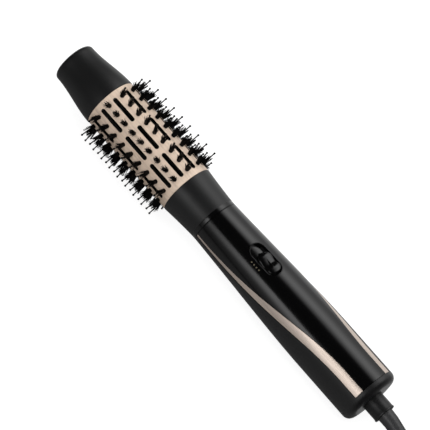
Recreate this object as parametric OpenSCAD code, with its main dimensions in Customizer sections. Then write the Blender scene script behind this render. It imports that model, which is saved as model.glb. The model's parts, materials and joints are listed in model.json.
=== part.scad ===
// Hot-air styling brush with a round, slotted barrel head.
// The brush is drawn along +X, cord end at x = 0 and cool tip at +X, with the switch side at +Z.
// placed() then tips it the little that it leans when it lies on its back on a table.

/* [Handle] */
// Length of the handle, from its cord end to the neck
handle_len = 155.3; // [140:0.1:190]
// Radius of the handle where the hand holds it
grip_r = 21; // [18:0.5:25]
// Radius of the handle at the neck
neck_r = 17.2; // [17.2:0.1:18]
// Distance from the cord end at which the handle is at its full width
full_x = 45; // [30:1:60]
// Wall of the handle shells
wall = 2.2; // [1.8:0.1:2.6]
// Rounding of the handle's cord end
corner_r = 5; // [3.5:0.5:5.5]
// Distance from the cord end to the seam where the front panel starts
seam_x = 6; // [6:0.5:9]
// Depth of the pockets that hold the trim strips
pocket = 1.3; // [1:0.1:1.5]
// How far the trim strips lie below the front panel
trim_sink = 0.3; // [0.1:0.05:0.5]
// Gap between shells that meet
seam_gap = 0.1; // [0.05:0.01:0.2]

/* [Trim strips] */
// Angle from the front to the strips' outer edge at the cord end
outer_low = 48.5; // [44:0.5:52]
// Angle from the front to the strips' outer edge at the neck
outer_high = 90; // [86:0.5:92]
// Angle from the front to the strips' inner edge at the cord end
inner_low = 29.5; // [26:0.5:34]
// Angle from the front to the strips' inner edge at the neck
inner_high = 82.5; // [76:0.5:84]

/* [Switch] */
// Centre of the switch well, from the cord end
switch_x = 112; // [108:1:116]
// Length of the switch well
well_len = 27; // [24:0.5:29]
// Width of the switch well
well_w = 12.7; // [11:0.1:13.5]
// Wall of the frame round the well
frame_wall = 0.7; // [0.5:0.1:1]
// Travel from off to the last setting
switch_travel = 7.2; // [6:0.3:9]
// Number of settings, each with its dot
settings = 4; // [3:1:5]

/* [Neck and bayonet] */
// Thickness of the lock ring
ring_t = 2.2; // [1.8:0.1:3]
// Outside radius of the outlet tube that the head slides over
outlet_r = 15; // [14.8:0.05:15]
// Wall of the outlet tube
outlet_wall = 0.7; // [0.5:0.05:0.9]
// Running clearance of the lock ring on the outlet tube
ring_clear = 0.08; // [0.04:0.01:0.1]
// Clearance of the collar on the outlet tube
collar_clear = 0.15; // [0.1:0.05:0.25]
// Height of the bayonet lugs
lug_h = 1.3; // [1:0.1:1.4]
// Width of the bayonet lugs
lug_w = 4.6; // [3:0.1:6]
// Turn from unlocked to locked, in degrees
twist = 20; // [10:1:30]

/* [Brush head] */
// Length of the collar
collar_len = 26.8; // [22:0.1:32]
// Length of the barrel
barrel_len = 78.3; // [70:0.5:100]
// Outside radius of the barrel
barrel_r = 19; // [18.8:0.1:22]
// Wall of the barrel
barrel_wall = 0.8; // [0.6:0.1:1]
// Number of bristle rows round the barrel
rows = 11; // [9:1:12]
// Bristle tufts in each row
tufts = 9; // [6:3:9]
// Distance between the tufts of a row
tuft_pitch = 8.25; // [7.5:0.05:8.6]
// How far the ball tips stand out from the barrel
pin_reach = 11.3; // [9:0.1:14]
// How far the tufts stand out from the barrel
tuft_reach = 7.8; // [6:0.1:9]
// Radius of a pin
pin_r = 0.45; // [0.35:0.05:0.5]
// Radius of a ball tip
ball_r = 0.75; // [0.6:0.05:0.9]
// Radius of a tuft
tuft_r = 1.35; // [1.1:0.05:1.4]
// Length of an air slot
slot_len = 20.4; // [16:0.2:22]
// Width of an air slot
slot_w = 3.1; // [1.8:0.1:3.4]
// Length of the cool tip
tip_len = 38.9; // [30:0.5:50]
// Radius of the cool tip at its end
tip_r = 15.4; // [14:0.1:17]

/* [Fan and heater] */
// Radius of the motor
motor_r = 12; // [10:0.5:12]
// Length of the motor
motor_len = 30; // [26:1:32]
// Radius of the fan
fan_r = 15.2; // [13.5:0.1:15.3]
// Number of fan blades
blades = 7; // [5:1:9]
// Radius of the heating coil
coil_r = 11.6; // [10:0.1:12]
// Turns of the heating coil
heat_turns = 8; // [6:1:9]

/* [Cord] */
// Diameter of the mains cord
cord_d = 6.5; // [6:0.1:7]
// Radius of the gland sleeve
gland_r = 7.8; // [7.3:0.1:8.5]
// How far the gland sleeve stands out of the handle
gland_len = 12.2; // [10:0.2:15]
// Radius of the strain relief where it leaves the gland
relief_r = 5.7; // [5:0.1:6]
// Diameter of the coil at the middle of its turns
coil_mid_d = 66; // [66:1:72]
// Radius of a plug pin
plug_pin_r = 2.4; // [2.4:0.1:2.5]
// Length of a plug pin
plug_pin_len = 19; // [18:0.5:19]

/* [Hidden] */
$fn = 96;

// Places along the brush
ring_x = handle_len + 0.2;
collar_x = ring_x + ring_t + 0.2;
barrel_x = collar_x + collar_len;
tip_x = barrel_x + barrel_len;
end_x = tip_x + tip_len;

// The head's insides, from the barrel inwards
barrel_in = barrel_r - barrel_wall;
strip_top = barrel_in - 0.15;
strip_t = 1.15;
strip_w = 3.4;
cage_r = strip_top - strip_t - 0.1;
cage_wall = 0.8;
cage_vent_w = 1.8;
first_tuft = barrel_x + (barrel_len - (tufts - 1) * tuft_pitch) / 2;
last_tuft = first_tuft + (tufts - 1) * tuft_pitch;
spigot_len = 4.7;
row_step = 360 / rows;

// The bayonet
collar_bore = outlet_r + collar_clear;
lug_r = outlet_r + lug_h;
groove_r = lug_r + 0.2;
lug_x = collar_x + 12.6;
lug_len = 3;
lug_half = asin((lug_w / 2 + 0.3) / outlet_r) + 0.5;
outlet_end = barrel_x - 0.5;
outlet_seat_len = 15;
outlet_flange = 1.5;
outlet_flange_h = 0.4;
seat_clear = 0.05;
dog_len = 1.6;

// The cool tip
tip_corner = 2.5;
tip_wall = 2;
tip_top_r = barrel_r + 0.3;

// The lean on the table: the handle's end and the first ball tips of two rows touch it
ball_mid = barrel_r + pin_reach - ball_r;
lean_run = first_tuft - corner_r;
lean_rise = ball_mid * cos(row_step / 2) - (grip_r - corner_r);
tilt = atan2(lean_rise, lean_run) + asin((ball_r - corner_r) / norm([lean_run, lean_rise]));
shift_z = (grip_r - corner_r) * cos(tilt) + corner_r - corner_r * sin(tilt);
far_x = (end_x - tip_corner) * cos(tilt) + (tip_r - tip_corner) * sin(tilt) + tip_corner;
near_x = -gland_len * cos(tilt) - gland_r * sin(tilt);
shift_x = -(far_x + near_x) / 2;

// Inside the handle
clamp_x = 10.5;
clamp_gap = 6.8;
neck_bore_r = 3.9;
screw_r = 1.5;
screw_places = [20, 85];
boss_r = 3.2;
head_seat = 14;
motor_x = 34;
shaft_r = 1;
fan_x = motor_x + motor_len + 3;
fan_t = 8;
duct_x = fan_x - 5;
duct_len = 18;
duct_r = fan_r + 0.4;
duct_wall = 0.7;
duct_clear = 0.244;
duct_reach = handle_r(duct_x + duct_len) - wall - duct_clear;
slots_x = 28;
inlet_len = 32;
mesh_r = grip_r - wall - 0.7;
board_x = switch_x - 22;
board_len = 34;
board_w = 16;
board_z = 7;
board_t = 1.4;
post_gap = 5.2;
heater_x = handle_len - 27.3;
heater_len = 52;
shield_r = outlet_r - outlet_wall - 0.2;
mica_w = 27;
mica_t = 0.8;
heat_pitch = 4.6;
heat_start = heater_x + 8;
wire_r = 0.45;
lead_r = 0.8;
lead_track = 17.2;

// The switch
well_floor = 14.9;
floor_t = 1;
knob_len = well_len - 2 * frame_wall - switch_travel - 0.2;
knob_w = well_w - 2 * frame_wall - 0.7;
knob_x = switch_x - switch_travel / 2;
stem_len = 3;
stem_w = 1.6;
slider_z = 11.4;

// The cord lies on the table, so its points are given on the table and not on the brush
exit_x = shift_x - gland_len * cos(tilt);
exit_z = shift_z - gland_len * sin(tilt);
relief_route = [
    [exit_x + 0.2, 0, exit_z], [exit_x - 6, 0.2, exit_z - 0.3], [-169, 0.8, 19.2], [-175, 1.3, 18.2],
    [-181, 1.4, 16.8], [-187, 1, 15.1], [-192, 0, 13.5], [-197, -1.3, 11.9]
];
cord_route = [
    [-197, -1.3, 11.9], [-202, -3.1, 10.2], [-207, -5.3, 8.6], [-213, -8.4, 6.9], [-220, -12.4, 5.4],
    [-227, -16.5, 4.6], [-234, -20.6, 4.3], [-241, -24.7, 4.3], [-247, -27.8, 4.3]
];
coil_at = [-262, 5, 1];
coil_rows = 2;
coil_layers = 4;
tie_w = 6;
tie_t = 0.7;
plug_at = [-217, 38, 18];
plug_turn = 3;
plug_along = [cos(plug_turn), sin(plug_turn), 0];
plug_relief_len = 14;
plug_r = 17.8;
plug_face_len = 12;
plug_grip_len = 24;
plug_gap = 19;
plug_shank_r = 1.9;
tail_route = [
    [-260, 41.1, 17.3], [-254, 41, 17.4], [-248, 40.2, 17.6], [-241, 38.9, 17.9],
    plug_at - plug_relief_len * plug_along, plug_at - 5 * plug_along, plug_at
];

// Smooth step from 0 to 1
function held(f) = min(1, max(0, f));
function ease(f) = held(f) * held(f) * (3 - 2 * held(f));

// Radius of the handle at x: it swells from the neck to the grip
function swell(f) = f + 0.55 * f * f - 0.55 * pow(f, 4);
function handle_r(x) =
    neck_r + (grip_r - neck_r) * swell(held((handle_len + 1 - x) / (handle_len + 1 - full_x)));

// Edges of the trim strips, as offsets across a view that looks in at 60 degrees from the front
view_in = 60;
function outer_angle(x) = outer_low + (outer_high - outer_low) * ease((x - 20) / 130);
function inner_angle(x) = inner_low + (inner_high - inner_low) * ease((x - 22) / 133);
stations = [for (i = [0:19]) seam_x - 2 + i * (handle_len + 4 - seam_x) / 19];
function outer_edge(gap) = [for (x = stations) [x, handle_r(x) * sin(outer_angle(x) - view_in) + gap]];
function inner_edge(gap) = [for (x = stations) [x, handle_r(x) * sin(inner_angle(x) - view_in) + gap]];

// Points of an arc, and a list turned round
function arc(at, r, from, to, n) =
    [for (i = [0:n]) at + r * [cos(from + (to - from) * i / n), sin(from + (to - from) * i / n)]];
function turned(list) = [for (i = [len(list) - 1:-1:0]) list[i]];

// The handle's outline at a depth below its surface, from one x to another
function side(depth, from, to) =
    [for (i = [0:18]) let (x = from + (to - from) * i / 18) [handle_r(x) - depth, x]];

module placed() {
    translate([shift_x, 0, shift_z])
        rotate([0, -tilt, 0])
            children();
}

// A solid turned about the brush's axis, from points [radius, x]
module spun(points) {
    rotate([0, 90, 0])
        rotate_extrude()
            polygon(points);
}

module rod(r, from, to) {
    translate([from, 0, 0])
        rotate([0, 90, 0])
            cylinder(h = to - from, r = r);
}

module pipe(r_out, r_in, from, to) {
    difference() {
        rod(r_out, from, to);
        rod(r_in, from - 1, to + 1);
    }
}

// The bore at the neck that the shells clamp the outlet tube in, with a groove for its flange
module outlet_seat() {
    flange_x = handle_len - outlet_seat_len;
    rod(outlet_r + seat_clear, flange_x + outlet_flange, handle_len + 2);
    rod(outlet_r + outlet_flange_h + seat_clear, flange_x - 1, flange_x + outlet_flange + seat_clear);
}

// Turns what is drawn at the front by an angle towards the left side
module at_angle(a) {
    rotate([-a, 0, 0])
        children();
}

// A flat shape with round ends, along X
module stadium(length, width) {
    square([length - width, width], center = true);
    for (end = [-1, 1])
        translate([end * (length - width) / 2, 0])
            circle(d = width);
}

// All that lies further round from the front than an edge, on one side
module past(hand, edge) {
    last = len(edge) - 1;
    at_angle(hand * view_in)
        linear_extrude(height = 120, center = true)
            polygon(concat(
                [for (p = edge) [p[0], hand * p[1]]],
                [[edge[last][0], hand * 45], [edge[0][0], hand * 45]]
            ));
}

// The front of the handle, between an edge and its mirror image
module front_zone(edge, from) {
    difference() {
        translate([from, -30, -30])
            cube([handle_len + 1 - from, 60, 60]);
        past(1, edge);
        past(-1, edge);
    }
}

// Rings of a tube that follows points, and the tube
function unit(v) = v / norm(v);
function heading(route, i) =
    unit(route[min(len(route) - 1, i + 1)] - route[max(0, i - 1)]);
function ring_at(p, along, r, sides) =
    let (
        across = unit(cross(along, abs(along[2]) > 0.9 ? [1, 0, 0] : [0, 0, 1])),
        up = cross(across, along)
    )
    [for (k = [0:sides - 1]) p + r * (cos(360 * k / sides) * across + sin(360 * k / sides) * up)];

module hose(route, r_from, r_to, sides) {
    n = len(route);
    rings = [
        for (i = [0:n - 1])
            each ring_at(route[i], heading(route, i), r_from + (r_to - r_from) * i / (n - 1), sides)
    ];
    walls = [
        for (i = [0:n - 2], k = [0:sides - 1])
            [
                i * sides + k, i * sides + (k + 1) % sides,
                (i + 1) * sides + (k + 1) % sides, (i + 1) * sides + k
            ]
    ];
    ends = [
        [for (k = [sides - 1:-1:0]) k],
        [for (k = [0:sides - 1]) (n - 1) * sides + k]
    ];
    polyhedron(points = rings, faces = concat(walls, ends), convexity = 6);
}

// Handle shells

module rear_housing() {
    outline = concat(
        [[gland_r + 0.1, 0]],
        arc([grip_r - corner_r, corner_r], corner_r, -90, 0, 8),
        side(0, seam_x, handle_len),
        turned(side(wall, seam_x, handle_len)),
        arc([grip_r - corner_r, corner_r], corner_r - wall, 0, -90, 6),
        [[gland_r + 0.1, wall]]
    );
    color([0.09, 0.09, 0.095])
        placed()
            difference() {
                union() {
                    difference() {
                        spun(outline);
                        front_zone(inner_edge(0), seam_x);
                        intersection() {
                            spun(concat(
                                side(-1, seam_x, handle_len + 1),
                                turned(side(pocket, seam_x, handle_len + 1))
                            ));
                            front_zone(outer_edge(0), seam_x);
                        }
                    }
                    intersection() {
                        union() {
                            for (x = screw_places)
                                translate([x, 0, -30])
                                    cylinder(h = 29, r = boss_r);
                            for (y = [-clamp_gap, clamp_gap])
                                translate([clamp_x, y, -30])
                                    cylinder(h = 24.9, r = 2.2);
                        }
                        spun(concat([[0, 1]], side(wall / 2, 1, handle_len - 1), [[0, handle_len - 1]]));
                    }
                }
                for (x = screw_places) {
                    translate([x, 0, -30])
                        cylinder(h = 40, r = screw_r + 0.1);
                    translate([x, 0, -30])
                        cylinder(h = 30 - head_seat, r = 2.9);
                }
                for (y = [-clamp_gap, clamp_gap])
                    translate([clamp_x, y, -15])
                        cylinder(h = 12, r = 1);
                outlet_seat();
                for (k = [-3:3])
                    at_angle(180 + k * 11)
                        translate([slots_x + inlet_len / 2, 0, 16])
                            linear_extrude(height = 8)
                                stadium(inlet_len, 2.2);
            }
}

module front_panel() {
    color([0.02, 0.02, 0.022])
        placed()
            difference() {
                union() {
                    intersection() {
                        spun(concat(
                            side(0, seam_x + seam_gap, handle_len),
                            turned(side(wall, seam_x + seam_gap, handle_len))
                        ));
                        front_zone(inner_edge(-seam_gap), seam_x + seam_gap);
                    }
                    intersection() {
                        union() {
                            for (x = screw_places)
                                translate([x, 0, 0])
                                    cylinder(h = 30, r = boss_r);
                            for (y = [-post_gap, post_gap])
                                translate([board_x + 4, y, board_z + board_t + 0.1])
                                    cylinder(h = 20, r = 2);
                        }
                        spun(concat([[0, 8]], side(wall / 2, 8, handle_len - 1), [[0, handle_len - 1]]));
                    }
                }
                for (x = screw_places)
                    translate([x, 0, -1])
                        cylinder(h = 12, r = screw_r + 0.05);
                for (y = [-post_gap, post_gap])
                    translate([board_x + 4, y, board_z])
                        cylinder(h = 6, r = 1);
                translate([switch_x, 0, 8])
                    linear_extrude(height = 20)
                        stadium(well_len, well_w);
                outlet_seat();
                for (i = [0:settings - 1])
                    dot_at(i)
                        cylinder(h = 8, r = 0.55);
            }
}

module trim_strip(hand) {
    color([0.78, 0.70, 0.64])
        placed()
            intersection() {
                spun(concat(
                    side(trim_sink, seam_x + seam_gap, handle_len),
                    turned(side(pocket - seam_gap, seam_x + seam_gap, handle_len))
                ));
                difference() {
                    front_zone(outer_edge(-seam_gap), seam_x + seam_gap);
                    front_zone(inner_edge(0), 0);
                    translate([0, hand > 0 ? -60 : 0, -60])
                        cube([handle_len + 2, 60, 120]);
                }
            }
}

module trim_strip_left() {
    trim_strip(1);
}

module trim_strip_right() {
    trim_strip(-1);
}

// Screws that close the handle from behind
module housing_screws() {
    color([0.6, 0.6, 0.62])
        placed()
            for (x = screw_places)
                translate([x, 0, 0]) {
                    translate([0, 0, -head_seat])
                        cylinder(h = head_seat + 9, r = screw_r);
                    translate([0, 0, -head_seat - 2])
                        cylinder(h = 2, r = 2.7);
                }
}

// Fine screen behind the air inlet
module inlet_mesh() {
    color([0.3, 0.3, 0.3])
        placed()
            intersection() {
                pipe(mesh_r + 0.4, mesh_r, slots_x - 1, slots_x + inlet_len + 1);
                rotate([180, 0, 0])
                    translate([0, -15, 8])
                        cube([handle_len, 30, 20]);
            }
}

// Switch

// A place on the panel's surface beside the well, for one setting's dot
module dot_at(i) {
    x = switch_x + (settings - 1) * 1.2 - i * 2.4 + 0.7;
    at_angle(26.5)
        translate([x, 0, handle_r(x) - 0.5])
            children();
}

module speed_dots() {
    color([0.72, 0.6, 0.35])
        placed()
            for (i = [0:settings - 1])
                dot_at(i)
                    cylinder(h = 0.52, r = 0.5);
}

module switch_frame() {
    color([0.05, 0.05, 0.05])
        placed()
            intersection() {
                translate([switch_x, 0, well_floor])
                    difference() {
                        linear_extrude(height = 10)
                            stadium(well_len - 0.2, well_w - 0.2);
                        translate([0, 0, floor_t])
                            linear_extrude(height = 12)
                                stadium(well_len - 2 * frame_wall, well_w - 2 * frame_wall);
                        translate([0, 0, -1])
                            linear_extrude(height = 4)
                                stadium(stem_len + switch_travel + 2.4, stem_w + 1);
                    }
                spun(concat([[0, 80]], side(-0.25, 80, 140), [[0, 140]]));
            }
}

// Two humps with a saddle between them
module switch_knob() {
    base = well_floor + floor_t + 0.15;
    top = handle_r(knob_x) + 0.9;
    half = knob_len / 2;
    waves = [
        for (i = [0:24])
            let (u = -1 + i / 12)
            [u * half, top - 0.75 + 0.75 * sin(abs(u) * 270 - 60) - 0.6 * pow(u, 6)]
    ];
    color([0.04, 0.04, 0.045])
        placed() {
            intersection() {
                translate([knob_x, 30, 0])
                    rotate([90, 0, 0])
                        linear_extrude(height = 60)
                            polygon(concat(waves, [[half, base], [-half, base]]));
                translate([knob_x, 0, base])
                    linear_extrude(height = 10)
                        stadium(knob_len, knob_w);
            }
            translate([knob_x - stem_len / 2, -stem_w / 2, slider_z + 0.4])
                cube([stem_len, stem_w, base - slider_z - 0.3]);
        }
}

// The piece in the electric switch that the knob's stem drives
module switch_slider() {
    color([0.85, 0.82, 0.7])
        placed()
            translate([knob_x, 0, slider_z])
                difference() {
                    translate([-3, -1.5, 0])
                        cube([6, 3, 1.9]);
                    translate([-stem_len / 2 - 0.05, -stem_w / 2 - 0.05, 0.3])
                        cube([stem_len + 0.1, stem_w + 0.1, 3]);
                }
}

module slide_switch() {
    low = board_z + board_t;
    color([0.2, 0.2, 0.22])
        placed()
            difference() {
                translate([switch_x - 11, -4, low])
                    cube([22, 8, slider_z + 2.1 - low]);
                translate([switch_x - 3.2 - switch_travel / 2, -1.6, slider_z - 0.1])
                    cube([6.4 + switch_travel, 3.2, 3]);
            }
}

module circuit_board() {
    color([0.1, 0.35, 0.15])
        placed()
            difference() {
                translate([board_x, -board_w / 2, board_z])
                    cube([board_len, board_w, board_t]);
                for (y = [-post_gap, post_gap])
                    translate([board_x + 4, y, board_z - 1])
                        cylinder(h = 4, r = 1.15);
            }
}

// Diodes and a capacitor under the board
module board_parts() {
    color([0.75, 0.55, 0.2])
        placed() {
            for (y = [-5, -1.7, 1.7, 5])
                translate([board_x + 12, y, board_z - 1.5])
                    rotate([0, 90, 0])
                        cylinder(h = 6, r = 1.3);
            translate([board_x + 22, -4.5, board_z - 5.05])
                cube([10, 9, 5]);
        }
}

module board_screws() {
    color([0.6, 0.6, 0.62])
        placed()
            for (y = [-post_gap, post_gap])
                translate([board_x + 4, y, board_z - 1.3]) {
                    cylinder(h = 6.5, r = 0.95);
                    cylinder(h = 1.25, r = 1.8);
                }
}

// Air mover

module motor_can() {
    color([0.7, 0.7, 0.72])
        placed()
            difference() {
                rod(motor_r, motor_x, motor_x + motor_len);
                rod(motor_r - 0.8, motor_x - 1, motor_x + motor_len - 1.5);
                rod(shaft_r + 0.05, motor_x, motor_x + motor_len + 1);
            }
}

module motor_end_cap() {
    color([0.15, 0.15, 0.5])
        placed()
            difference() {
                union() {
                    rod(motor_r, motor_x - 2.5, motor_x - 0.05);
                    rod(motor_r - 0.9, motor_x - 0.1, motor_x + 2);
                    for (hand = [-1, 1])
                        at_angle(hand * 50)
                            translate([motor_x - 5, -1.2, 9])
                                cube([3, 2.4, 0.6]);
                }
                rod(shaft_r + 0.05, motor_x - 1, motor_x + 3);
            }
}

// Ring and arms that hold the rear of the motor; the front is open for the leads
module motor_mount() {
    color([0.25, 0.25, 0.27])
        placed()
            difference() {
                union() {
                    rod(motor_r + 1.5, motor_x + 6, motor_x + 16);
                    for (a = [90, 180, 270])
                        at_angle(a)
                            translate([motor_x + 7, -1, motor_r + 1])
                                cube([8, 2, mesh_r - 0.2 - motor_r - 1]);
                }
                rod(motor_r + 0.05, motor_x, motor_x + 30);
            }
}

module fan_duct() {
    color([0.22, 0.22, 0.24])
        placed() {
            difference() {
                union() {
                    rod(duct_r + duct_wall, duct_x, duct_x + duct_len);
                    for (a = [90, 180, 270])
                        at_angle(a)
                            translate([duct_x + 3, -0.8, duct_r + 0.3])
                                cube([12, 1.6, duct_reach - duct_r - 0.3]);
                }
                rod(duct_r, duct_x - 1, duct_x + duct_len + 1);
            }
            pipe(motor_r + 1.2, motor_r + 0.05, duct_x - 2, duct_x + 1.8);
            for (a = [90, 180, 270])
                at_angle(a)
                    translate([duct_x, -0.8, motor_r + 1])
                        cube([1.8, 1.6, duct_r + 0.3 - motor_r - 1]);
        }
}

module motor_shaft() {
    color([0.8, 0.8, 0.82])
        placed()
            rod(shaft_r, motor_x - 0.8, fan_x + fan_t + 1);
}

module armature() {
    color([0.6, 0.35, 0.2])
        placed()
            pipe(8.5, shaft_r + 0.02, motor_x + 5, motor_x + 24);
}

module fan_impeller() {
    hub_r = 6;
    color([0.85, 0.85, 0.85])
        placed()
            difference() {
                union() {
                    rod(hub_r, fan_x, fan_x + fan_t);
                    intersection() {
                        rod(fan_r, fan_x, fan_x + fan_t);
                        for (k = [0:blades - 1])
                            at_angle(k * 360 / blades)
                                translate([fan_x + fan_t / 2, 0, fan_r / 2 + 2])
                                    rotate([0, 0, 38])
                                        cube([11, 0.9, fan_r], center = true);
                    }
                }
                rod(shaft_r + 0.02, fan_x - 1, fan_x + fan_t + 1);
            }
}

// Heater

module heater_shield() {
    color([0.75, 0.68, 0.5])
        placed()
            pipe(shield_r, shield_r - 0.5, heater_x, heater_x + heater_len);
}

// Two mica plates crossed, with a notch wherever the coil passes an edge
module heater_frame() {
    color([0.8, 0.74, 0.58])
        placed()
            difference() {
                translate([heater_x + 3, 0, 0])
                    union() {
                        translate([0, -mica_w / 2, -mica_t / 2])
                            cube([heater_len - 4, mica_w, mica_t]);
                        translate([0, -mica_t / 2, -mica_w / 2])
                            cube([heater_len - 4, mica_t, mica_w]);
                    }
                for (k = [0:4 * heat_turns])
                    at_angle(90 * k)
                        translate([heat_start + heat_pitch * k / 4 - 0.65, -1, coil_r - wire_r - 0.15])
                            cube([1.3, 2, 3]);
            }
}

module heater_coil() {
    steps = 12;
    route = [
        for (i = [0:heat_turns * steps])
            let (a = 360 * i / steps)
            [heat_start + heat_pitch * i / steps, coil_r * sin(a), coil_r * cos(a)]
    ];
    color([0.55, 0.5, 0.45])
        placed()
            hose(route, wire_r, wire_r, 5);
}

module thermostat() {
    color([0.7, 0.7, 0.65])
        placed() {
            rod(5, heater_x - 5, heater_x - 1);
            rod(1.5, heater_x - 1.1, heater_x + 2.9);
        }
}

module thermal_fuse() {
    seat = 1.6 + mica_t / 2 + 0.05;
    color([0.9, 0.9, 0.88])
        placed()
            translate([0, seat, seat])
                rod(1.6, heater_x + 12, heater_x + 21);
}

// Wiring inside the handle

module mains_leads() {
    color([0.35, 0.2, 0.1])
        placed()
            for (hand = [-1, 1])
                hose([
                    [14.1, hand * 1.6, 0], [15.4, hand * 1.6, 0], [17.5, hand * 3.6, 2.7],
                    [20, hand * 6.2, 7], [24, hand * 8.2, 12],
                    [29, hand * 8.6, 14.6], [36, hand * 8.6, 14.9], [58, hand * 8.6, 14.9],
                    [80, hand * 8.6, 14.7], [84, hand * 8, 13.4], [87.5, hand * 6.8, 11.2],
                    [90.5, hand * 5.4, 9.6], [91.3, hand * 5.2, 9.3]
                ], lead_r, lead_r, 8);
}

module motor_leads() {
    track = [sin(50), cos(50)];
    color([0.6, 0.1, 0.1])
        placed()
            for (hand = [-1, 1])
                hose([
                    for (p = [
                        [28.4, 9.4], [27, 12], [27.6, 15], [30, lead_track], [40, lead_track],
                        [70, lead_track], [81, lead_track], [85.5, 16.2], [88.5, 14.2], [90.8, 12.4]
                    ])
                        [p[0], hand * p[1] * track[0], p[1] * track[1]]
                ], lead_r, lead_r, 8);
}

// One lead to the start of the heating coil and one to the thermostat
module heater_leads() {
    color([0.9, 0.9, 0.85])
        placed() {
            hose([
                [121, 6.4, 9.3], [124.5, 6.6, 9.6], [128, 5.6, 10.2],
                [131.5, 3.6, 10.9], [134, 2.2, 11.2], [135.2, 1.4, 11.2]
            ], lead_r, lead_r, 8);
            hose([
                [121, -6.4, 9.3], [123.2, -6.5, 9.3], [125.3, -6.6, 8.6],
                [126.2, -6.6, 6.4], [126, -6.1, 3.6], [125.5, -5.7, 1.4]
            ], lead_r, lead_r, 8);
        }
}

// Cord entry

module cord_clamp() {
    color([0.3, 0.3, 0.3])
        placed()
            difference() {
                translate([clamp_x - 3, -9.2, -5])
                    cube([6, 18.4, 10]);
                rod(neck_bore_r + 0.1, 0, 20);
                for (y = [-clamp_gap, clamp_gap])
                    translate([clamp_x, y, -6])
                        cylinder(h = 12, r = 1.2);
            }
}

module clamp_screws() {
    color([0.6, 0.6, 0.62])
        placed()
            for (y = [-clamp_gap, clamp_gap])
                translate([clamp_x, y, 0]) {
                    translate([0, 0, -11])
                        cylinder(h = 17, r = 0.95);
                    translate([0, 0, 5.05])
                        cylinder(h = 1.6, r = 1.9);
                }
}

module gland_sleeve() {
    color([0.07, 0.07, 0.075])
        placed()
            difference() {
                union() {
                    rod(gland_r - 0.25, -gland_len + 0.5, wall + 1);
                    rod(gland_r, -gland_len, -gland_len + 1.2);
                    rod(9.6, wall + 0.1, wall + 1.9);
                }
                rod(6.2, -gland_len - 1, wall + 3);
            }
}

module swivel_core() {
    color([0.12, 0.12, 0.12])
        placed()
            difference() {
                union() {
                    rod(6.1, -gland_len + 0.4, wall + 3.6);
                    rod(7.4, wall + 2.1, wall + 3.6);
                }
                rod(neck_bore_r + 0.1, -gland_len - 1, wall + 5);
            }
}

module strain_relief() {
    color([0.06, 0.06, 0.065])
        union() {
            placed()
                rod(neck_bore_r, -gland_len - 0.5, 14);
            hose(relief_route, relief_r, cord_d / 2 + 0.5, 12);
        }
}

module mains_cord() {
    color([0.05, 0.05, 0.05])
        hose(cord_route, cord_d / 2, cord_d / 2, 10);
}

module cord_coil() {
    color([0.05, 0.05, 0.05])
        translate(coil_at)
            rotate_extrude()
                translate([(coil_mid_d - coil_rows * cord_d) / 2, 0])
                    square([coil_rows * cord_d, coil_layers * cord_d]);
}

// Band that holds the turns together, on the far side of the coil
module cord_tie() {
    inner = [coil_rows * cord_d + 0.5, coil_layers * cord_d + 0.5];
    color([0.1, 0.1, 0.1])
        translate(coil_at + [-coil_mid_d / 2, 0, coil_layers * cord_d / 2])
            rotate([90, 0, 0])
                linear_extrude(height = tie_w, center = true)
                    difference() {
                        square(inner + [2 * tie_t, 2 * tie_t], center = true);
                        square(inner, center = true);
                    }
}

module plug_lead() {
    color([0.05, 0.05, 0.05])
        hose(tail_route, cord_d / 2, cord_d / 2, 10);
}

// Two-pin plug, lying beside the coil

module plugged() {
    translate(plug_at)
        rotate([0, 0, plug_turn])
            children();
}

module plug_relief() {
    color([0.06, 0.06, 0.065])
        plugged()
            spun([
                [cord_d / 2 + 0.05, -plug_relief_len], [cord_d / 2 + 1, -plug_relief_len],
                [5.5, 0], [cord_d / 2 + 0.05, 0]
            ]);
}

module plug_body() {
    color([0.06, 0.06, 0.065])
        plugged()
            difference() {
                spun([
                    [0, 0.1], [7, 0.1], [10, 3], [12.5, plug_grip_len - 5], [plug_r - 1, plug_grip_len],
                    [plug_r, plug_grip_len + 1.5], [plug_r, plug_grip_len + plug_face_len - 0.8],
                    [plug_r - 0.8, plug_grip_len + plug_face_len], [0, plug_grip_len + plug_face_len]
                ]);
                for (hand = [-1, 1])
                    translate([0, hand * plug_gap / 2, 0])
                        rod(plug_shank_r + 0.02, plug_grip_len, plug_grip_len + plug_face_len + 1);
                for (hand = [-1, 1])
                    translate([plug_grip_len + 2, -2.7, hand * (plug_r - 1.2) - 2])
                        cube([plug_face_len, 5.4, 4]);
            }
}

module plug_pins() {
    face = plug_grip_len + plug_face_len;
    color([0.8, 0.78, 0.7])
        plugged()
            for (hand = [-1, 1])
                translate([0, hand * plug_gap / 2, 0]) {
                    rod(plug_shank_r, plug_grip_len + 0.1, face + 0.1);
                    rod(plug_pin_r, face, face + plug_pin_len - 1);
                    spun([
                        [0, face + plug_pin_len - 1], [plug_pin_r, face + plug_pin_len - 1],
                        [plug_pin_r - 0.8, face + plug_pin_len], [0, face + plug_pin_len]
                    ]);
                }
}

// Outlet and lock

module outlet_tube() {
    flange_x = handle_len - outlet_seat_len;
    color([0.14, 0.14, 0.14])
        placed()
            difference() {
                union() {
                    rod(outlet_r, flange_x, outlet_end);
                    rod(outlet_r + outlet_flange_h, flange_x, flange_x + outlet_flange);
                    intersection() {
                        for (a = [90, 270])
                            at_angle(a)
                                translate([lug_x, -lug_w / 2, outlet_r - 1])
                                    cube([lug_len, lug_w, 5]);
                        rod(lug_r, lug_x - 1, lug_x + lug_len + 1);
                    }
                }
                rod(outlet_r - outlet_wall, flange_x - 1, outlet_end + 1);
            }
}

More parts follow.
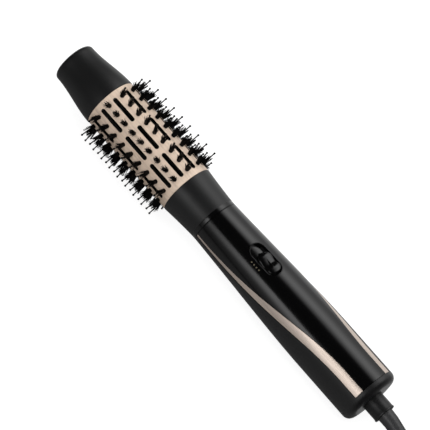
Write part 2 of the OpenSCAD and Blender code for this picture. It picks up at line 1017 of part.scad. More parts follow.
// Straight ways along the axis for the lugs
module lug_ways(from, to) {
    intersection() {
        for (a = [90, 270])
            at_angle(a)
                translate([from, -lug_w / 2 - 0.3, outlet_r - 2])
                    cube([to - from, lug_w + 0.6, 8]);
        rod(groove_r, from, to);
    }
}

// Dogs on the ring, and with a clearance the recesses for them
module dogs(clearance) {
    for (a = [45, 135, 225, 315])
        at_angle(a)
            translate([ring_x + ring_t - 0.5, -1.5 - clearance, outlet_r + 0.35 - clearance])
                cube([dog_len + 0.5 + clearance, 3 + 2 * clearance, 1.1 + 2 * clearance]);
}

module lock_ring() {
    color([0.03, 0.03, 0.03])
        placed()
            difference() {
                union() {
                    difference() {
                        spun([
                            [outlet_r - 1, ring_x], [neck_r - 0.25, ring_x], [neck_r + 0.05, ring_x + 0.5],
                            [neck_r + 0.05, ring_x + ring_t - 0.5], [neck_r - 0.25, ring_x + ring_t],
                            [outlet_r - 1, ring_x + ring_t]
                        ]);
                        lug_ways(ring_x - 1, ring_x + ring_t + 1);
                    }
                    dogs(0);
                }
                rod(outlet_r + ring_clear, ring_x - 1, ring_x + ring_t + 3);
            }
}

function collar_side() = [
    for (i = [0:12])
        let (f = i / 12)
        [neck_r + 0.05 + (barrel_r + 0.2 - neck_r) * pow(f, 1.3), collar_x + f * collar_len]
];

module collar() {
    color([0.08, 0.08, 0.085])
        placed()
            difference() {
                union() {
                    spun(concat([[outlet_r - 1, collar_x]], collar_side(), [[outlet_r - 1, barrel_x]]));
                    rod(barrel_in - 0.1, barrel_x - 1, barrel_x + spigot_len);
                }
                rod(collar_bore, collar_x - 1, barrel_x + spigot_len + 1);
                rod(cage_r + 0.05, barrel_x, barrel_x + spigot_len + 1);
                lug_ways(collar_x - 1, lug_x + lug_len + 0.4);
                for (a = [90, 270])
                    at_angle(a)
                        translate([lug_x - 0.4, 0, 0])
                            rotate([0, 90, 0])
                                rotate_extrude(angle = -(twist + lug_half), start = 180)
                                    translate([outlet_r - 1, 0])
                                        square([groove_r - outlet_r + 1.15, lug_len + 0.9]);
                dogs(0.15);
            }
}

// Brush head

function tuft_x(i) = first_tuft + i * tuft_pitch;

module barrel() {
    color([0.80, 0.71, 0.63])
        placed()
            difference() {
                pipe(barrel_r, barrel_in, barrel_x + 0.05, tip_x - 0.05);
                for (k = [0:rows - 1]) {
                    at_angle(k * row_step)
                        for (i = [0:tufts - 1])
                            translate([tuft_x(i), 0, barrel_in - 2])
                                cylinder(h = 5, r = tuft_r + 0.15);
                    at_angle((k + 0.5) * row_step)
                        for (i = [1:3:tufts - 2])
                            translate([tuft_x(i), 0, barrel_in - 2])
                                linear_extrude(height = 5)
                                    stadium(slot_len, slot_w);
                }
            }
}

// Sleeve that carries the strips from inside
module inner_cage() {
    color([0.2, 0.2, 0.2])
        placed()
            difference() {
                pipe(cage_r, cage_r - cage_wall, barrel_x + 0.2, tip_x - 0.2);
                for (k = [0:rows - 1])
                    at_angle((k + 0.5) * row_step)
                        translate([(first_tuft + last_tuft) / 2, 0, cage_r - 3])
                            linear_extrude(height = 5)
                                stadium(last_tuft - first_tuft, cage_vent_w);
            }
}

// Strips of ball-tipped pins, one strip for each row
module bristle_strips() {
    color([0.03, 0.03, 0.03])
        placed()
            for (k = [0:rows - 1])
                at_angle(k * row_step)
                    union() {
                        translate([first_tuft - 0.9, -strip_w / 2, strip_top - strip_t])
                            cube([last_tuft - first_tuft + 1.8, strip_w, strip_t]);
                        for (i = [0:tufts - 1])
                            translate([tuft_x(i), 0, strip_top - 0.2]) {
                                cylinder(h = ball_mid - strip_top + 0.2, r = pin_r, $fn = 24);
                                translate([0, 0, ball_mid - strip_top + 0.2])
                                    sphere(r = ball_r, $fn = 24);
                            }
                    }
}

// Tufts of fine bristles, one round each pin
module bristle_tufts() {
    color([0.02, 0.02, 0.02])
        placed()
            for (k = [0:rows - 1])
                at_angle(k * row_step)
                    for (i = [0:tufts - 1])
                        translate([tuft_x(i), 0, strip_top + 0.02])
                            difference() {
                                cylinder(h = barrel_r + tuft_reach - strip_top, r = tuft_r, $fn = 24);
                                translate([0, 0, -1])
                                    cylinder(h = 20, r = pin_r + 0.05, $fn = 24);
                            }
}

function tip_side(depth, from, to) = [
    for (i = [0:12])
        let (f = from + (to - from) * i / 12)
        [tip_r + (tip_top_r - tip_r) * ease(1 - f) - depth, tip_x + f * (tip_len - tip_corner)]
];

module cool_tip() {
    color([0.08, 0.08, 0.085])
        placed()
            difference() {
                union() {
                    spun(concat(
                        [[0, tip_x]],
                        tip_side(0, 0, 1),
                        arc([tip_r - tip_corner, end_x - tip_corner], tip_corner, 15, 90, 6),
                        [[0, end_x]]
                    ));
                    rod(barrel_in - 0.1, tip_x - spigot_len + 0.1, tip_x + 1);
                }
                spun(concat(
                    [[0, tip_x - spigot_len - 1], [cage_r + 0.05, tip_x - spigot_len - 1]],
                    [[cage_r + 0.05, tip_x]],
                    tip_side(tip_wall + 0.6, 0.02, 0.9),
                    [[4, end_x - tip_corner - 1.4], [3.5, end_x - tip_corner - 1.4]],
                    [[3.5, tip_x - spigot_len + 0.8], [0, tip_x - spigot_len + 0.8]]
                ));
                rod(1.5, tip_x - spigot_len, tip_x + 12);
            }
}

// Disc that stops the air at the end of the barrel
module end_disc() {
    color([0.2, 0.2, 0.2])
        placed()
            pipe(cage_r - cage_wall - 0.1, 1.6, tip_x - spigot_len - 1.8, tip_x - spigot_len + 0.7);
}

module tip_screw() {
    top = tip_x - spigot_len - 1.85;
    color([0.6, 0.6, 0.62])
        placed() {
            rod(1.45, top - 0.5, tip_x + 10);
            rod(2.8, top - 2, top);
        }
}

rear_housing();
front_panel();
trim_strip_left();
trim_strip_right();
switch_frame();
speed_dots();
housing_screws();
inlet_mesh();
outlet_tube();
fan_duct();
motor_can();
motor_end_cap();
motor_mount();
heater_shield();
heater_frame();
heater_coil();
thermostat();
thermal_fuse();
circuit_board();
board_parts();
board_screws();
slide_switch();
mains_leads();
motor_leads();
heater_leads();
cord_clamp();
clamp_screws();
gland_sleeve();
swivel_core();
strain_relief();
mains_cord();
cord_coil();
cord_tie();
plug_lead();
plug_relief();
plug_body();
plug_pins();
motor_shaft();
armature();
fan_impeller();
switch_knob();
switch_slider();
lock_ring();
collar();
barrel();
inner_cage();
bristle_strips();
bristle_tufts();
cool_tip();
end_disc();
tip_screw();
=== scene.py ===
# %% [markdown]
# # A hot-air brush with a round barrel head
#
# This file dresses the model of a mains hot-air styling brush. The construction model comes first: it
# holds every piece at its true place and size. Then each visible shell is modelled again by hand
# methods, so that it is smooth where the real one is smooth, and everything gets its finish.

# %% Frame
import json
import math
import random

import bpy
from mathutils import Matrix, Vector


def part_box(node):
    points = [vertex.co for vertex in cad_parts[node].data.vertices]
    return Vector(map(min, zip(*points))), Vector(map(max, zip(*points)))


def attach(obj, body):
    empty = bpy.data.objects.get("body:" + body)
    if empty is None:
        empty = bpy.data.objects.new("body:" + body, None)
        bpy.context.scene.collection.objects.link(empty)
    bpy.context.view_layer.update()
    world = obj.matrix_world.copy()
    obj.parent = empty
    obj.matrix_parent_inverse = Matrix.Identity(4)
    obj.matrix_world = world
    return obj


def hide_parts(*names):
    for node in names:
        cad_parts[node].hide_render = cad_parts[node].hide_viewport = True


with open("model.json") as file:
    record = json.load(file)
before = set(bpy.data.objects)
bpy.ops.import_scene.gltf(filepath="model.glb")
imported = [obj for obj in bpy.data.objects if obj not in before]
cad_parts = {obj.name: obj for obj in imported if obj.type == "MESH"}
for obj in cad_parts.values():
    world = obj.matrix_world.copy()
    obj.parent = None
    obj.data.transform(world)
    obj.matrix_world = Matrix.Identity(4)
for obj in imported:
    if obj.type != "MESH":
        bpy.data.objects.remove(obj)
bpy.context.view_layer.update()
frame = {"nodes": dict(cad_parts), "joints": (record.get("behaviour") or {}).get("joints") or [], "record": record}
nodes = frame["nodes"]

# %% [markdown]
# ## The brush's own axis
#
# The brush lies on its back, so its axis is tipped by the little that its ball tips lift the head.
# Modelling along a tipped axis by hand would be awkward. A maker draws such a thing flat on the bench
# and then sets it down, and the same is done here. Each piece is modelled along X, in millimetres from
# the cord end, and then one matrix puts it in its place. The lock ring's joint gives the axis.

# %% Bench and table
joint = next(j for j in frame["joints"] if j["name"] == "head_twist")
axis = Vector(joint["axis"]).normalized()
tilt = math.atan2(axis.z, axis.x)
turn = Matrix.Rotation(-tilt, 4, "Y")
to_bench = (turn.inverted() @ Matrix.Translation(-Vector(joint["pos_m"])))


def along(node):
    """First and last place of a node along the brush's axis, and its largest radius, in metres."""
    spots = [to_bench @ v.co for v in nodes[node].data.vertices]
    return min(p.x for p in spots), max(p.x for p in spots), max(math.hypot(p.y, p.z) for p in spots)


zero = along("rear_housing")[0]
to_table = Matrix.Translation(Vector(joint["pos_m"])) @ turn @ Matrix.Translation((zero, 0, 0))
MM = 0.001


def reach(node):
    """The same, in millimetres from the handle's cord end."""
    first, last, radius = along(node)
    return (first - zero) / MM, (last - zero) / MM, radius / MM


handle_len, grip_r = reach("rear_housing")[1:]
ring_from, ring_to, ring_r = reach("lock_ring")
collar_from, collar_end = reach("collar")[:2]
barrel_from, barrel_to, barrel_r = reach("barrel")
tip_from, tip_to = reach("cool_tip")[:2]
gland_from = reach("gland_sleeve")[0]
print("handle", round(handle_len, 2), "grip", round(grip_r, 2))
print("barrel from", round(barrel_from, 2), "to", round(barrel_to, 2))

# %% [markdown]
# ## Camera
#
# A product picture of a slim object is taken from far off with a long lens, so that its two ends come
# out nearly the same size. The camera looks down on the brush from its left and from behind its cord
# end. It is rolled, so that the brush runs from corner to corner. Its three directions are written
# along the brush's own axis and then turned with it.

# %% Camera
back = Vector((-0.19937, 0.46005, 0.86522)).normalized()
across = Vector((0, -0.88295, 0.46947)).normalized()
lengthwise = (Vector((1, 0, 0)) - back.x * back).normalized()
roll = math.radians(48.54)
right = -math.cos(roll) * lengthwise + math.sin(roll) * across
up = math.sin(roll) * lengthwise + math.cos(roll) * across
aim = Vector((159.3, 0, 0)) + across * 2.9
distance = 1660

camera_data = bpy.data.cameras.new("camera")
camera_data.lens = 212.2
camera_data.sensor_width = 36
camera_data.clip_end = 20
camera = bpy.data.objects.new("camera", camera_data)
bpy.context.scene.collection.objects.link(camera)
turned_back = Matrix((right, up, back)).transposed().to_4x4()
turned_back.translation = (aim + back * distance) * MM
camera.matrix_world = to_table @ turned_back
bpy.context.scene.camera = camera
bpy.context.scene.view_settings.view_transform = "Standard"
print("camera at", [round(v, 3) for v in camera.matrix_world.translation])

# %% [markdown]
# ## Helpers for the bench
#
# Operators act on whatever is selected, so each piece starts from an empty selection. A finished piece
# has its place in its mesh and its object at the origin. `set_down` does that, puts the piece on the body
# that carries it, and hides the construction node that it stands for.


# %% Selecting
def nothing():
    """Leaves nothing selected."""
    for other in bpy.context.selected_objects:
        other.select_set(False)


def only(piece):
    """Makes a piece the one that is selected and active."""
    nothing()
    bpy.context.view_layer.objects.active = piece
    piece.select_set(True)


def edit(piece):
    only(piece)
    bpy.ops.object.mode_set(mode="EDIT")
    bpy.ops.mesh.select_all(action="SELECT")


def done():
    bpy.ops.object.mode_set(mode="OBJECT")


def joined(pieces):
    only(pieces[0])
    for piece in pieces[1:]:
        piece.select_set(True)
    if len(pieces) > 1:
        bpy.ops.object.join()
    return bpy.context.object


# %% Starting a piece
def placed(name, data):
    """An object for a mesh, curve, lamp or camera, linked to the scene."""
    piece = bpy.data.objects.new(name, data)
    bpy.context.scene.collection.objects.link(piece)
    return piece


def mesh_piece(name, places, faces):
    mesh = bpy.data.meshes.new(name)
    mesh.from_pydata(places, [], faces)
    return placed(name, mesh)


def started(name):
    """Names the primitive just added and moves its place into its mesh."""
    piece = bpy.context.object
    piece.name = name
    piece.data.name = name
    bpy.ops.object.transform_apply(location=True, rotation=True, scale=True)
    return piece


# %% Mending and finishing a mesh
def face_out(piece, merge=False, fill=False):
    """Turns all faces outwards, after merging doubles or closing open ends where asked."""
    edit(piece)
    if merge:
        bpy.ops.mesh.remove_doubles(threshold=0.002)
    if fill:
        bpy.ops.mesh.fill_holes(sides=0)
    bpy.ops.mesh.normals_make_consistent(inside=False)
    done()


def apply(piece, kind, **settings):
    only(piece)
    modifier = piece.modifiers.new(kind, kind)
    for key, value in settings.items():
        setattr(modifier, key, value)
    bpy.ops.object.modifier_apply(modifier=modifier.name)


def smooth(piece, degrees=35):
    only(piece)
    bpy.ops.object.shade_smooth_by_angle(angle=math.radians(degrees))


def wear(piece, made):
    piece.data.materials.clear()
    piece.data.materials.append(made)


def set_down(piece, body, stands_for, made=None):
    """Puts a bench piece in its place, on its body, for a construction node, and gives it a finish."""
    if made:
        wear(piece, made)
    piece.data.transform(to_table @ Matrix.Scale(MM, 4))
    piece.data.update()
    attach(piece, body)
    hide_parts(stands_for)
    print(piece.name, len(piece.data.polygons), "faces")


# %% [markdown]
# ## Turned pieces
#
# Collar, lock ring, cool tip and sleeve are round about the axis. A lathe makes them from one outline.
# Here a ring of edges is added at the outline's first place, extruded to the next place and resized to
# its radius, and so on. That gives clean rows of four-sided faces, which shine evenly.


# %% Turning
def turned(name, outline, steps=128, closed=True):
    """A piece that is round about X, from (x, radius) places. A closed outline ends where it starts."""
    nothing()
    x, r = outline[0]
    bpy.ops.mesh.primitive_circle_add(vertices=steps, radius=r, location=(x, 0, 0),
                                      rotation=(0, math.pi / 2, 0))
    piece = started(name)
    edit(piece)
    for next_x, next_r in outline[1:] + (outline[:1] if closed else []):
        bpy.ops.mesh.extrude_region_move(TRANSFORM_OT_translate={"value": (next_x - x, 0, 0)})
        size = next_r / r
        bpy.ops.transform.resize(value=(1, size, size), center_override=(next_x, 0, 0))
        x, r = next_x, next_r
    done()
    face_out(piece, merge=True, fill=not closed)
    return piece


def arc(x, r, radius, start, end, steps):
    """Places on a corner's arc in the outline; 0 degrees points along the axis and 90 outwards."""
    angles = [math.radians(start + (end - start) * i / steps) for i in range(steps + 1)]
    return [(x + radius * math.cos(a), r + radius * math.sin(a)) for a in angles]


# %% [markdown]
# ## Finishes
#
# Every finish is made from nodes, with no picture files. Two effects are shared and so are groups:
# `fine_grain` gives the texture that moulded plastic has from its tool, and `soft_wear` gives slow
# changes in gloss where hands have been. Both read Object coordinates, so a pattern stays on its piece
# when the piece moves.


# %% Nodes and groups
def add(tree, kind, operation=None, **values):
    """Adds a shader node. The values go to its inputs, whose names have spaces for underscores."""
    made = tree.nodes.new("ShaderNode" + kind)
    if operation:
        made.operation = operation
    for label, value in values.items():
        made.inputs[label.replace("_", " ")].default_value = value
    return made


def group(name, inputs, output):
    """A new node group, with its input and output nodes."""
    tree = bpy.data.node_groups.new(name, "ShaderNodeTree")
    for label, default in inputs:
        kind = "NodeSocketVector" if default is None else "NodeSocketFloat"
        socket = tree.interface.new_socket(label, in_out="INPUT", socket_type=kind)
        if default is not None:
            socket.default_value = default
    tree.interface.new_socket(output, in_out="OUTPUT", socket_type="NodeSocketFloat")
    return tree, tree.nodes.new("NodeGroupInput"), tree.nodes.new("NodeGroupOutput")


# %% Fine grain: the height of a moulded grain
fine_grain, start, end = group("fine_grain", [("Place", None), ("Scale", 2600.0)], "Height")
link = fine_grain.links.new
noise = add(fine_grain, "TexNoise", Detail=3)
cells = add(fine_grain, "TexVoronoi")
mix = add(fine_grain, "Math", "MULTIPLY_ADD")
cell_share = 0.6
mix.inputs[1].default_value = cell_share
for texture in (noise, cells):
    link(start.outputs["Place"], texture.inputs["Vector"])
    link(start.outputs["Scale"], texture.inputs["Scale"])
link(cells.outputs["Distance"], mix.inputs[0])
link(noise.outputs["Fac"], mix.inputs[2])
link(mix.outputs[0], end.inputs["Height"])

# %% Soft wear: a slow change of roughness round a middle
soft_wear, start, end = group(
    "soft_wear", [("Place", None), ("Scale", 30.0), ("Middle", 0.4), ("Spread", 0.06)], "Value"
)
link = soft_wear.links.new
noise = add(soft_wear, "TexNoise", Detail=4)
span = add(soft_wear, "MapRange", From_Min=0.3, From_Max=0.7)
for operation, limit in (("SUBTRACT", "To Min"), ("ADD", "To Max")):
    side = add(soft_wear, "Math", operation)
    link(start.outputs["Middle"], side.inputs[0])
    link(start.outputs["Spread"], side.inputs[1])
    link(side.outputs[0], span.inputs[limit])
link(start.outputs["Place"], noise.inputs["Vector"])
link(start.outputs["Scale"], noise.inputs["Scale"])
link(noise.outputs["Fac"], span.inputs["Value"])
link(span.outputs["Result"], end.inputs["Value"])

# %% [markdown]
# A finish starts from this function. It sets the plain numbers on the shader's own sockets, and wires
# only what changes over the surface: colour, roughness and the bump. `stretch` draws the grain out
# along the brush, which turns the same noise into brushed lines.


# %% A finish
grain_depth = 0.00002


def finish(name, color, rough=0.4, metal=0.0, spread=0.05, grain=2600.0, bump=0.02, stretch=1.0,
           tint=0.06, specular=0.5):
    made = bpy.data.materials.new(name)
    made.use_nodes = True
    tree = made.node_tree
    link = tree.links.new
    shader = tree.nodes["Principled BSDF"]
    shader.inputs["Metallic"].default_value = metal
    shader.inputs["Specular IOR Level"].default_value = specular
    place = add(tree, "TexCoord")
    drawn_out = add(tree, "Mapping", Rotation=(0, tilt, 0), Scale=(1 / stretch, 1, 1))
    link(place.outputs["Object"], drawn_out.inputs["Vector"])
    grained = add(tree, "Group")
    grained.node_tree = fine_grain
    grained.inputs["Scale"].default_value = grain
    worn = add(tree, "Group")
    worn.node_tree = soft_wear
    worn.inputs["Middle"].default_value = rough
    worn.inputs["Spread"].default_value = spread
    for effect in (grained, worn):
        link(drawn_out.outputs["Vector"], effect.inputs["Place"])
    link(worn.outputs["Value"], shader.inputs["Roughness"])
    ramp = add(tree, "ValToRGB")
    for element, position, share in zip(ramp.color_ramp.elements, (0.3, 0.9), (1 - tint, 1 + tint)):
        element.position = position
        element.color = (*[min(1, c * share) for c in color], 1)
    link(grained.outputs["Height"], ramp.inputs["Fac"])
    link(ramp.outputs["Color"], shader.inputs["Base Color"])
    raised = add(tree, "Bump", Strength=bump, Distance=grain_depth)
    link(grained.outputs["Height"], raised.inputs["Height"])
    link(raised.outputs["Normal"], shader.inputs["Normal"])
    return made


bare = set(nodes)


def dressed(names, name, color, **look):
    """A finish that the named construction nodes wear."""
    made = finish(name, color, **look)
    for node in names.split():
        wear(nodes[node], made)
        bare.discard(node)
    return made


# %% [markdown]
# ## The finishes of this brush
#
# The handle's rear, the collar and the tip are satin black with a very fine grain. The front panel and
# the lock ring are polished black. The trim and the barrel are a warm champagne. The trim has brushed
# lines along the handle, and the barrel is smoother.

# %% Outer finishes
satin_black = dressed("collar cool_tip rear_housing", "satin_black", (0.0045, 0.0045, 0.0047), rough=0.43,
                      spread=0.03, bump=0.25)
gloss_black = dressed("front_panel switch_knob lock_ring switch_frame", "gloss_black",
                      (0.0006, 0.0006, 0.0007), rough=0.17, spread=0.02, bump=0.01, tint=0.02)
champagne_trim = dressed("trim_strip_left trim_strip_right", "champagne_trim", (0.58, 0.49, 0.425),
                         rough=0.34, metal=0.65, stretch=60, grain=1500, bump=0.5, tint=0.16)
champagne_barrel = dressed("barrel", "champagne_barrel", (0.66, 0.52, 0.41), rough=0.46, metal=0.2,
                           stretch=8, grain=700, bump=0.45, tint=0.16, spread=0.08)
# The barrel's inner finish is near black and reflects nothing. It is partly the tube's dark inner coat and partly
# painted shade on the walls of its holes and slots.
barrel_inner_coat_and_shade = finish("barrel_inner_coat_and_shade", (0.002, 0.002, 0.002), rough=0.7, spread=0.03, bump=0.1,
                       specular=0.0)
dressed("speed_dots", "dot_gold", (0.135, 0.115, 0.075), metal=0.4, spread=0.03)
cord_nodes = "gland_sleeve swivel_core strain_relief mains_cord cord_coil plug_lead plug_relief plug_body"
cord_rubber = dressed(cord_nodes, "cord_rubber", (0.022, 0.022, 0.023), rough=0.42, grain=1800, bump=0.35)
pin_nylon = dressed("bristle_strips", "pin_nylon", (0.002, 0.002, 0.002), rough=0.35, spread=0.03,
                    grain=1500, specular=0.2)
bristle_nylon = dressed("bristle_tufts", "bristle_nylon", (0.002, 0.002, 0.002), rough=0.5, grain=2500,
                        specular=0.08)

# %% [markdown]
# ## Finishes of what is inside
#
# The works are hidden while the brush is whole, and show when a shell is taken off or the head is
# pulled. Each gets the finish of its real stuff: mica, zinc-plated steel, copper, nylon.

# %% Inner finishes
dressed("housing_screws clamp_screws board_screws tip_screw", "screw_zinc", (0.55, 0.55, 0.57), rough=0.3,
        metal=1.0, grain=1200, bump=0.3)
dressed("inlet_mesh", "mesh_steel", (0.25, 0.25, 0.26), metal=0.9, grain=3000, bump=0.8, tint=0.4)
dressed("outlet_tube inner_cage end_disc", "heat_plastic", (0.004, 0.004, 0.004), rough=0.6, bump=0.2,
        specular=0.1)
dressed("fan_duct motor_mount cord_clamp", "duct_plastic", (0.09, 0.09, 0.10), rough=0.45, bump=0.2)
dressed("motor_can motor_shaft", "motor_steel", (0.60, 0.60, 0.61), rough=0.28, metal=1.0, stretch=20,
        bump=0.3)
dressed("motor_end_cap", "cap_plastic", (0.12, 0.12, 0.28), bump=0.2)
dressed("armature", "copper_wire", (0.55, 0.25, 0.12), rough=0.3, metal=0.9, stretch=15, grain=1500, bump=0.8,
        tint=0.3)
dressed("fan_impeller", "fan_nylon", (0.72, 0.72, 0.70), rough=0.42, bump=0.1)
dressed("heater_shield heater_frame", "mica_sheet", (0.60, 0.52, 0.36), rough=0.38, grain=500, bump=0.3,
        tint=0.22)
dressed("heater_coil", "heating_wire", (0.33, 0.30, 0.28), metal=1.0, tint=0.2)
dressed("thermostat", "thermostat_plate", (0.60, 0.60, 0.57), rough=0.3, metal=1.0)
dressed("thermal_fuse", "fuse_ceramic", (0.76, 0.76, 0.72), rough=0.5, tint=0.03)
dressed("circuit_board", "board_lacquer", (0.05, 0.22, 0.09), rough=0.25, grain=700, tint=0.15)
dressed("board_parts", "amber_dip", (0.50, 0.33, 0.10), rough=0.25, tint=0.1)
dressed("slide_switch", "case_black", (0.05, 0.05, 0.055), rough=0.42, bump=0.2)
dressed("switch_slider", "slider_acetal", (0.70, 0.66, 0.54))
dressed("mains_leads", "brown_lead", (0.14, 0.06, 0.03), rough=0.35)
dressed("motor_leads", "red_lead", (0.42, 0.03, 0.03), rough=0.35)
dressed("heater_leads", "glass_sleeve", (0.74, 0.73, 0.68), rough=0.7, grain=1800, bump=0.9, tint=0.15)
dressed("cord_tie", "tie_black", (0.02, 0.02, 0.02), rough=0.35)
nickel = dressed("plug_pins", "nickel", (0.66, 0.63, 0.58), rough=0.2, metal=1.0, spread=0.04)
print("nodes with no finish:", sorted(bare))

# %% [markdown]
# ## The cord
#
# The cord is real length from the start. It leaves the swivel sleeve through a tapered boot, goes down
# to the table and ends in a coil held by a tie, with the plug beside it. A cord is a curve with a round
# section. The route's points are the construction model's own, so that the looks lie where the solid
# is. The coil's turns come from a loop: two turns side by side, four layers high, a cord's width apart.

# %% Route
cord_d = 0.0065
boot_end = (-0.197, -0.0013, 0.0119)
free_run = [
    (-0.202, -0.0031, 0.0102), (-0.207, -0.0053, 0.0086), (-0.213, -0.0084, 0.0069),
    (-0.220, -0.0124, 0.0054), (-0.227, -0.0165, 0.0046), (-0.234, -0.0206, 0.0043),
    (-0.241, -0.0247, 0.0043),
]
coil_low, coil_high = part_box("cord_coil")
coil_mid = (coil_low + coil_high) / 2
coil_out = (coil_high.x - coil_low.x) / 2 - cord_d / 2
coil_in = coil_out - cord_d
layers = [coil_low.z + cord_d * (k + 0.5) for k in range(4)]
print("coil radii in mm:", round(coil_in * 1000, 2), round(coil_out * 1000, 2))

# %% [markdown]
# The coil is wound clockwise. Each slot in the list is one turn: outer or inner, and its layer. At the
# end of a turn the cord eases over to the next slot, as a hand winding it would do.

# %% Winding
wound = [(coil_out, 0), (coil_in, 0), (coil_in, 1), (coil_out, 1),
         (coil_in, 2), (coil_in, 3), (coil_out, 3), (coil_out, 2)]
first_angle = math.radians(-65)
turns = 7.58
per_turn = 20


def eased(f):
    f = min(1, max(0, f))
    return f * f * (3 - 2 * f)


def wound_spot(share):
    """A place on the winding, from 0 at its start to 1 at its end."""
    slot_now = min(len(wound) - 1, int(share * len(wound)))
    into = share * len(wound) - slot_now
    over = eased((into - 0.72) / 0.28) if slot_now + 1 < len(wound) else 0
    (r_a, layer_a), (r_b, layer_b) = wound[slot_now], wound[min(slot_now + 1, len(wound) - 1)]
    r = r_a + (r_b - r_a) * over
    z = layers[layer_a] + (layers[layer_b] - layers[layer_a]) * over
    a = first_angle - share * turns * 2 * math.pi
    return (coil_mid.x + r * math.cos(a), coil_mid.y + r * math.sin(a), z)


count = int(turns * per_turn)
coil_run = [wound_spot(i / count) for i in range(1, count + 1)]

# %% [markdown]
# The plug lies beside the coil. Its two pins are mounts in the record, so their places give the plug's
# own axis: the pins point along it, and the plug's back end is 45 mm behind the middle of the pins.

# %% Plug's place and the whole line
pins = [m for m in frame["record"]["mounts"] if m["name"].startswith("plug_pin")]
plug_axis = Vector(pins[0]["axis"]).normalized()
pins_mid = (Vector(pins[0]["pos_m"]) + Vector(pins[1]["pos_m"])) / 2
plug_at = pins_mid - plug_axis * 0.045
relief_back = plug_at - plug_axis * 0.014
tail = [(-0.254, 0.041, 0.0174), (-0.248, 0.0402, 0.0176), (-0.241, 0.0389, 0.0179),
        tuple(relief_back), tuple(plug_at - plug_axis * 0.005), tuple(plug_at + plug_axis * 0.002)]
cord_exit = to_table @ Vector((gland_from * MM, 0, 0))
boot_run = [
    (cord_exit.x - 0.006, 0.0002, cord_exit.z - 0.0003), (-0.169, 0.0008, 0.0192), (-0.175, 0.0013, 0.0182),
    (-0.181, 0.0014, 0.0168), (-0.187, 0.001, 0.0151), (-0.192, 0, 0.0135), boot_end,
]
route = [tuple(cord_exit)] + boot_run + free_run + coil_run + tail


def line(name, points, radius, sides=4):
    """A smooth round tube through points, as a curve."""
    data = bpy.data.curves.new(name, "CURVE")
    data.dimensions = "3D"
    data.bevel_depth = radius
    data.bevel_resolution = sides
    data.resolution_u = 4
    data.use_fill_caps = True
    spline = data.splines.new("BEZIER")
    spline.bezier_points.add(len(points) - 1)
    for knot, place in zip(spline.bezier_points, points):
        knot.co = place
        knot.handle_left_type = "AUTO"
        knot.handle_right_type = "AUTO"
    return placed(name, data)


cord = line("cord", route, cord_d / 2)
wear(cord, cord_rubber)
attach(cord, "handle")
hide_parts("mains_cord", "cord_coil", "plug_lead")
print("cord of", len(route), "points")

# %% [markdown]
# ## Strain relief
#
# A moulded boot keeps the cord from kinking where it leaves the swivel. It is thick at the sleeve and
# thins out along the cord. Its far half is cut into rings, so that it bends evenly. A curve gives each
# point its own radius, and that makes the taper and the cuts in one go.

# %% Boot
boot_line = [Vector(p) for p in [tuple(cord_exit + Vector((0.0002, 0, 0)))] + boot_run]
boot_long = sum((b - a).length for a, b in zip(boot_line, boot_line[1:]))


def boot_spot(s):
    """A place at s metres along the boot's line."""
    for a, b in zip(boot_line, boot_line[1:]):
        if s <= (b - a).length:
            return a.lerp(b, s / (b - a).length)
        s -= (b - a).length
    return boot_line[-1]


boot_steps = 120
boot_r = 0.0057
boot_thins_by = 0.00195
cuts_from = 0.0165
cuts_to = boot_long - 0.004
cut_pitch = 0.0035
cut_w = 0.0011
cut_depth = 0.00075
end_rounding = 0.0003
boot_places = []
boot_radii = []
for i in range(boot_steps + 1):
    s = boot_long * i / boot_steps
    r = boot_r - boot_thins_by * s / boot_long
    if cuts_from < s < cuts_to and (s - cuts_from) % cut_pitch < cut_w:
        r -= cut_depth
    if i == boot_steps:
        r -= end_rounding
    boot_places.append(boot_spot(s))
    boot_radii.append(r)
boot = line("cord_boot", boot_places, 1.0, sides=8)
for knot, r in zip(boot.data.splines[0].bezier_points, boot_radii):
    knot.radius = r
    knot.handle_left_type = "VECTOR"
    knot.handle_right_type = "VECTOR"
boot.data.resolution_u = 1
only(boot)
bpy.ops.object.convert(target="MESH")
boot = bpy.context.object
smooth(boot, 45)
wear(boot, cord_rubber)
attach(boot, "handle")
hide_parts("strain_relief")
print("boot", round(boot_long * 1000, 1), "mm long")

# %% [markdown]
# ## Plug
#
# A two-pin plug body that a hand can pull: a waisted grip with a wide face. It is turned on the
# bench like the other round pieces, its edges are bevelled, and then it is set beside the coil.

# %% Plug body, relief and pins
plug_side = Vector((-plug_axis.y, plug_axis.x, 0))
plug_frame = Matrix((plug_axis, plug_side, Vector((0, 0, 1)))).transposed().to_4x4()
plug_frame.translation = plug_at


def finish_plug_piece(piece, node, made=None):
    """Takes a piece that was drawn from the plug's back end to the plug's place, and sets it down."""
    smooth(piece, 40)
    piece.data.transform(Matrix.Scale(1 / MM, 4) @ to_table.inverted() @ plug_frame @ Matrix.Scale(MM, 4))
    set_down(piece, "handle", node, made)


plug_body = turned("plug_shell", [(0.1, 5.0), (0.1, 7.0), (1.0, 8.2), (3.0, 10.0), (8.0, 11.0), (14.0, 11.6),
                                 (19.0, 12.5), (22.0, 14.4), (24.0, 16.8), (25.5, 17.8), (35.2, 17.8),
                                 (35.8, 17.4), (36.0, 17.0), (36.0, 4.0)], steps=96, closed=False)
apply(plug_body, "BEVEL", width=0.35, segments=3, limit_method="ANGLE", angle_limit=math.radians(30))
finish_plug_piece(plug_body, "plug_body", cord_rubber)

relief_outline = [(-14.0, 3.3), (-14.0, 4.25)]
for k in range(4):
    x = -12.0 + 3.0 * k
    r = 4.3 + 0.27 * k
    relief_outline += [(x, r), (x + 0.2, r - 0.6), (x + 1.2, r - 0.6), (x + 1.4, r + 0.1)]
relief_outline += [(0.0, 5.5), (0.0, 3.3)]
plug_relief = turned("plug_cuff", relief_outline, steps=48)
finish_plug_piece(plug_relief, "plug_relief", cord_rubber)

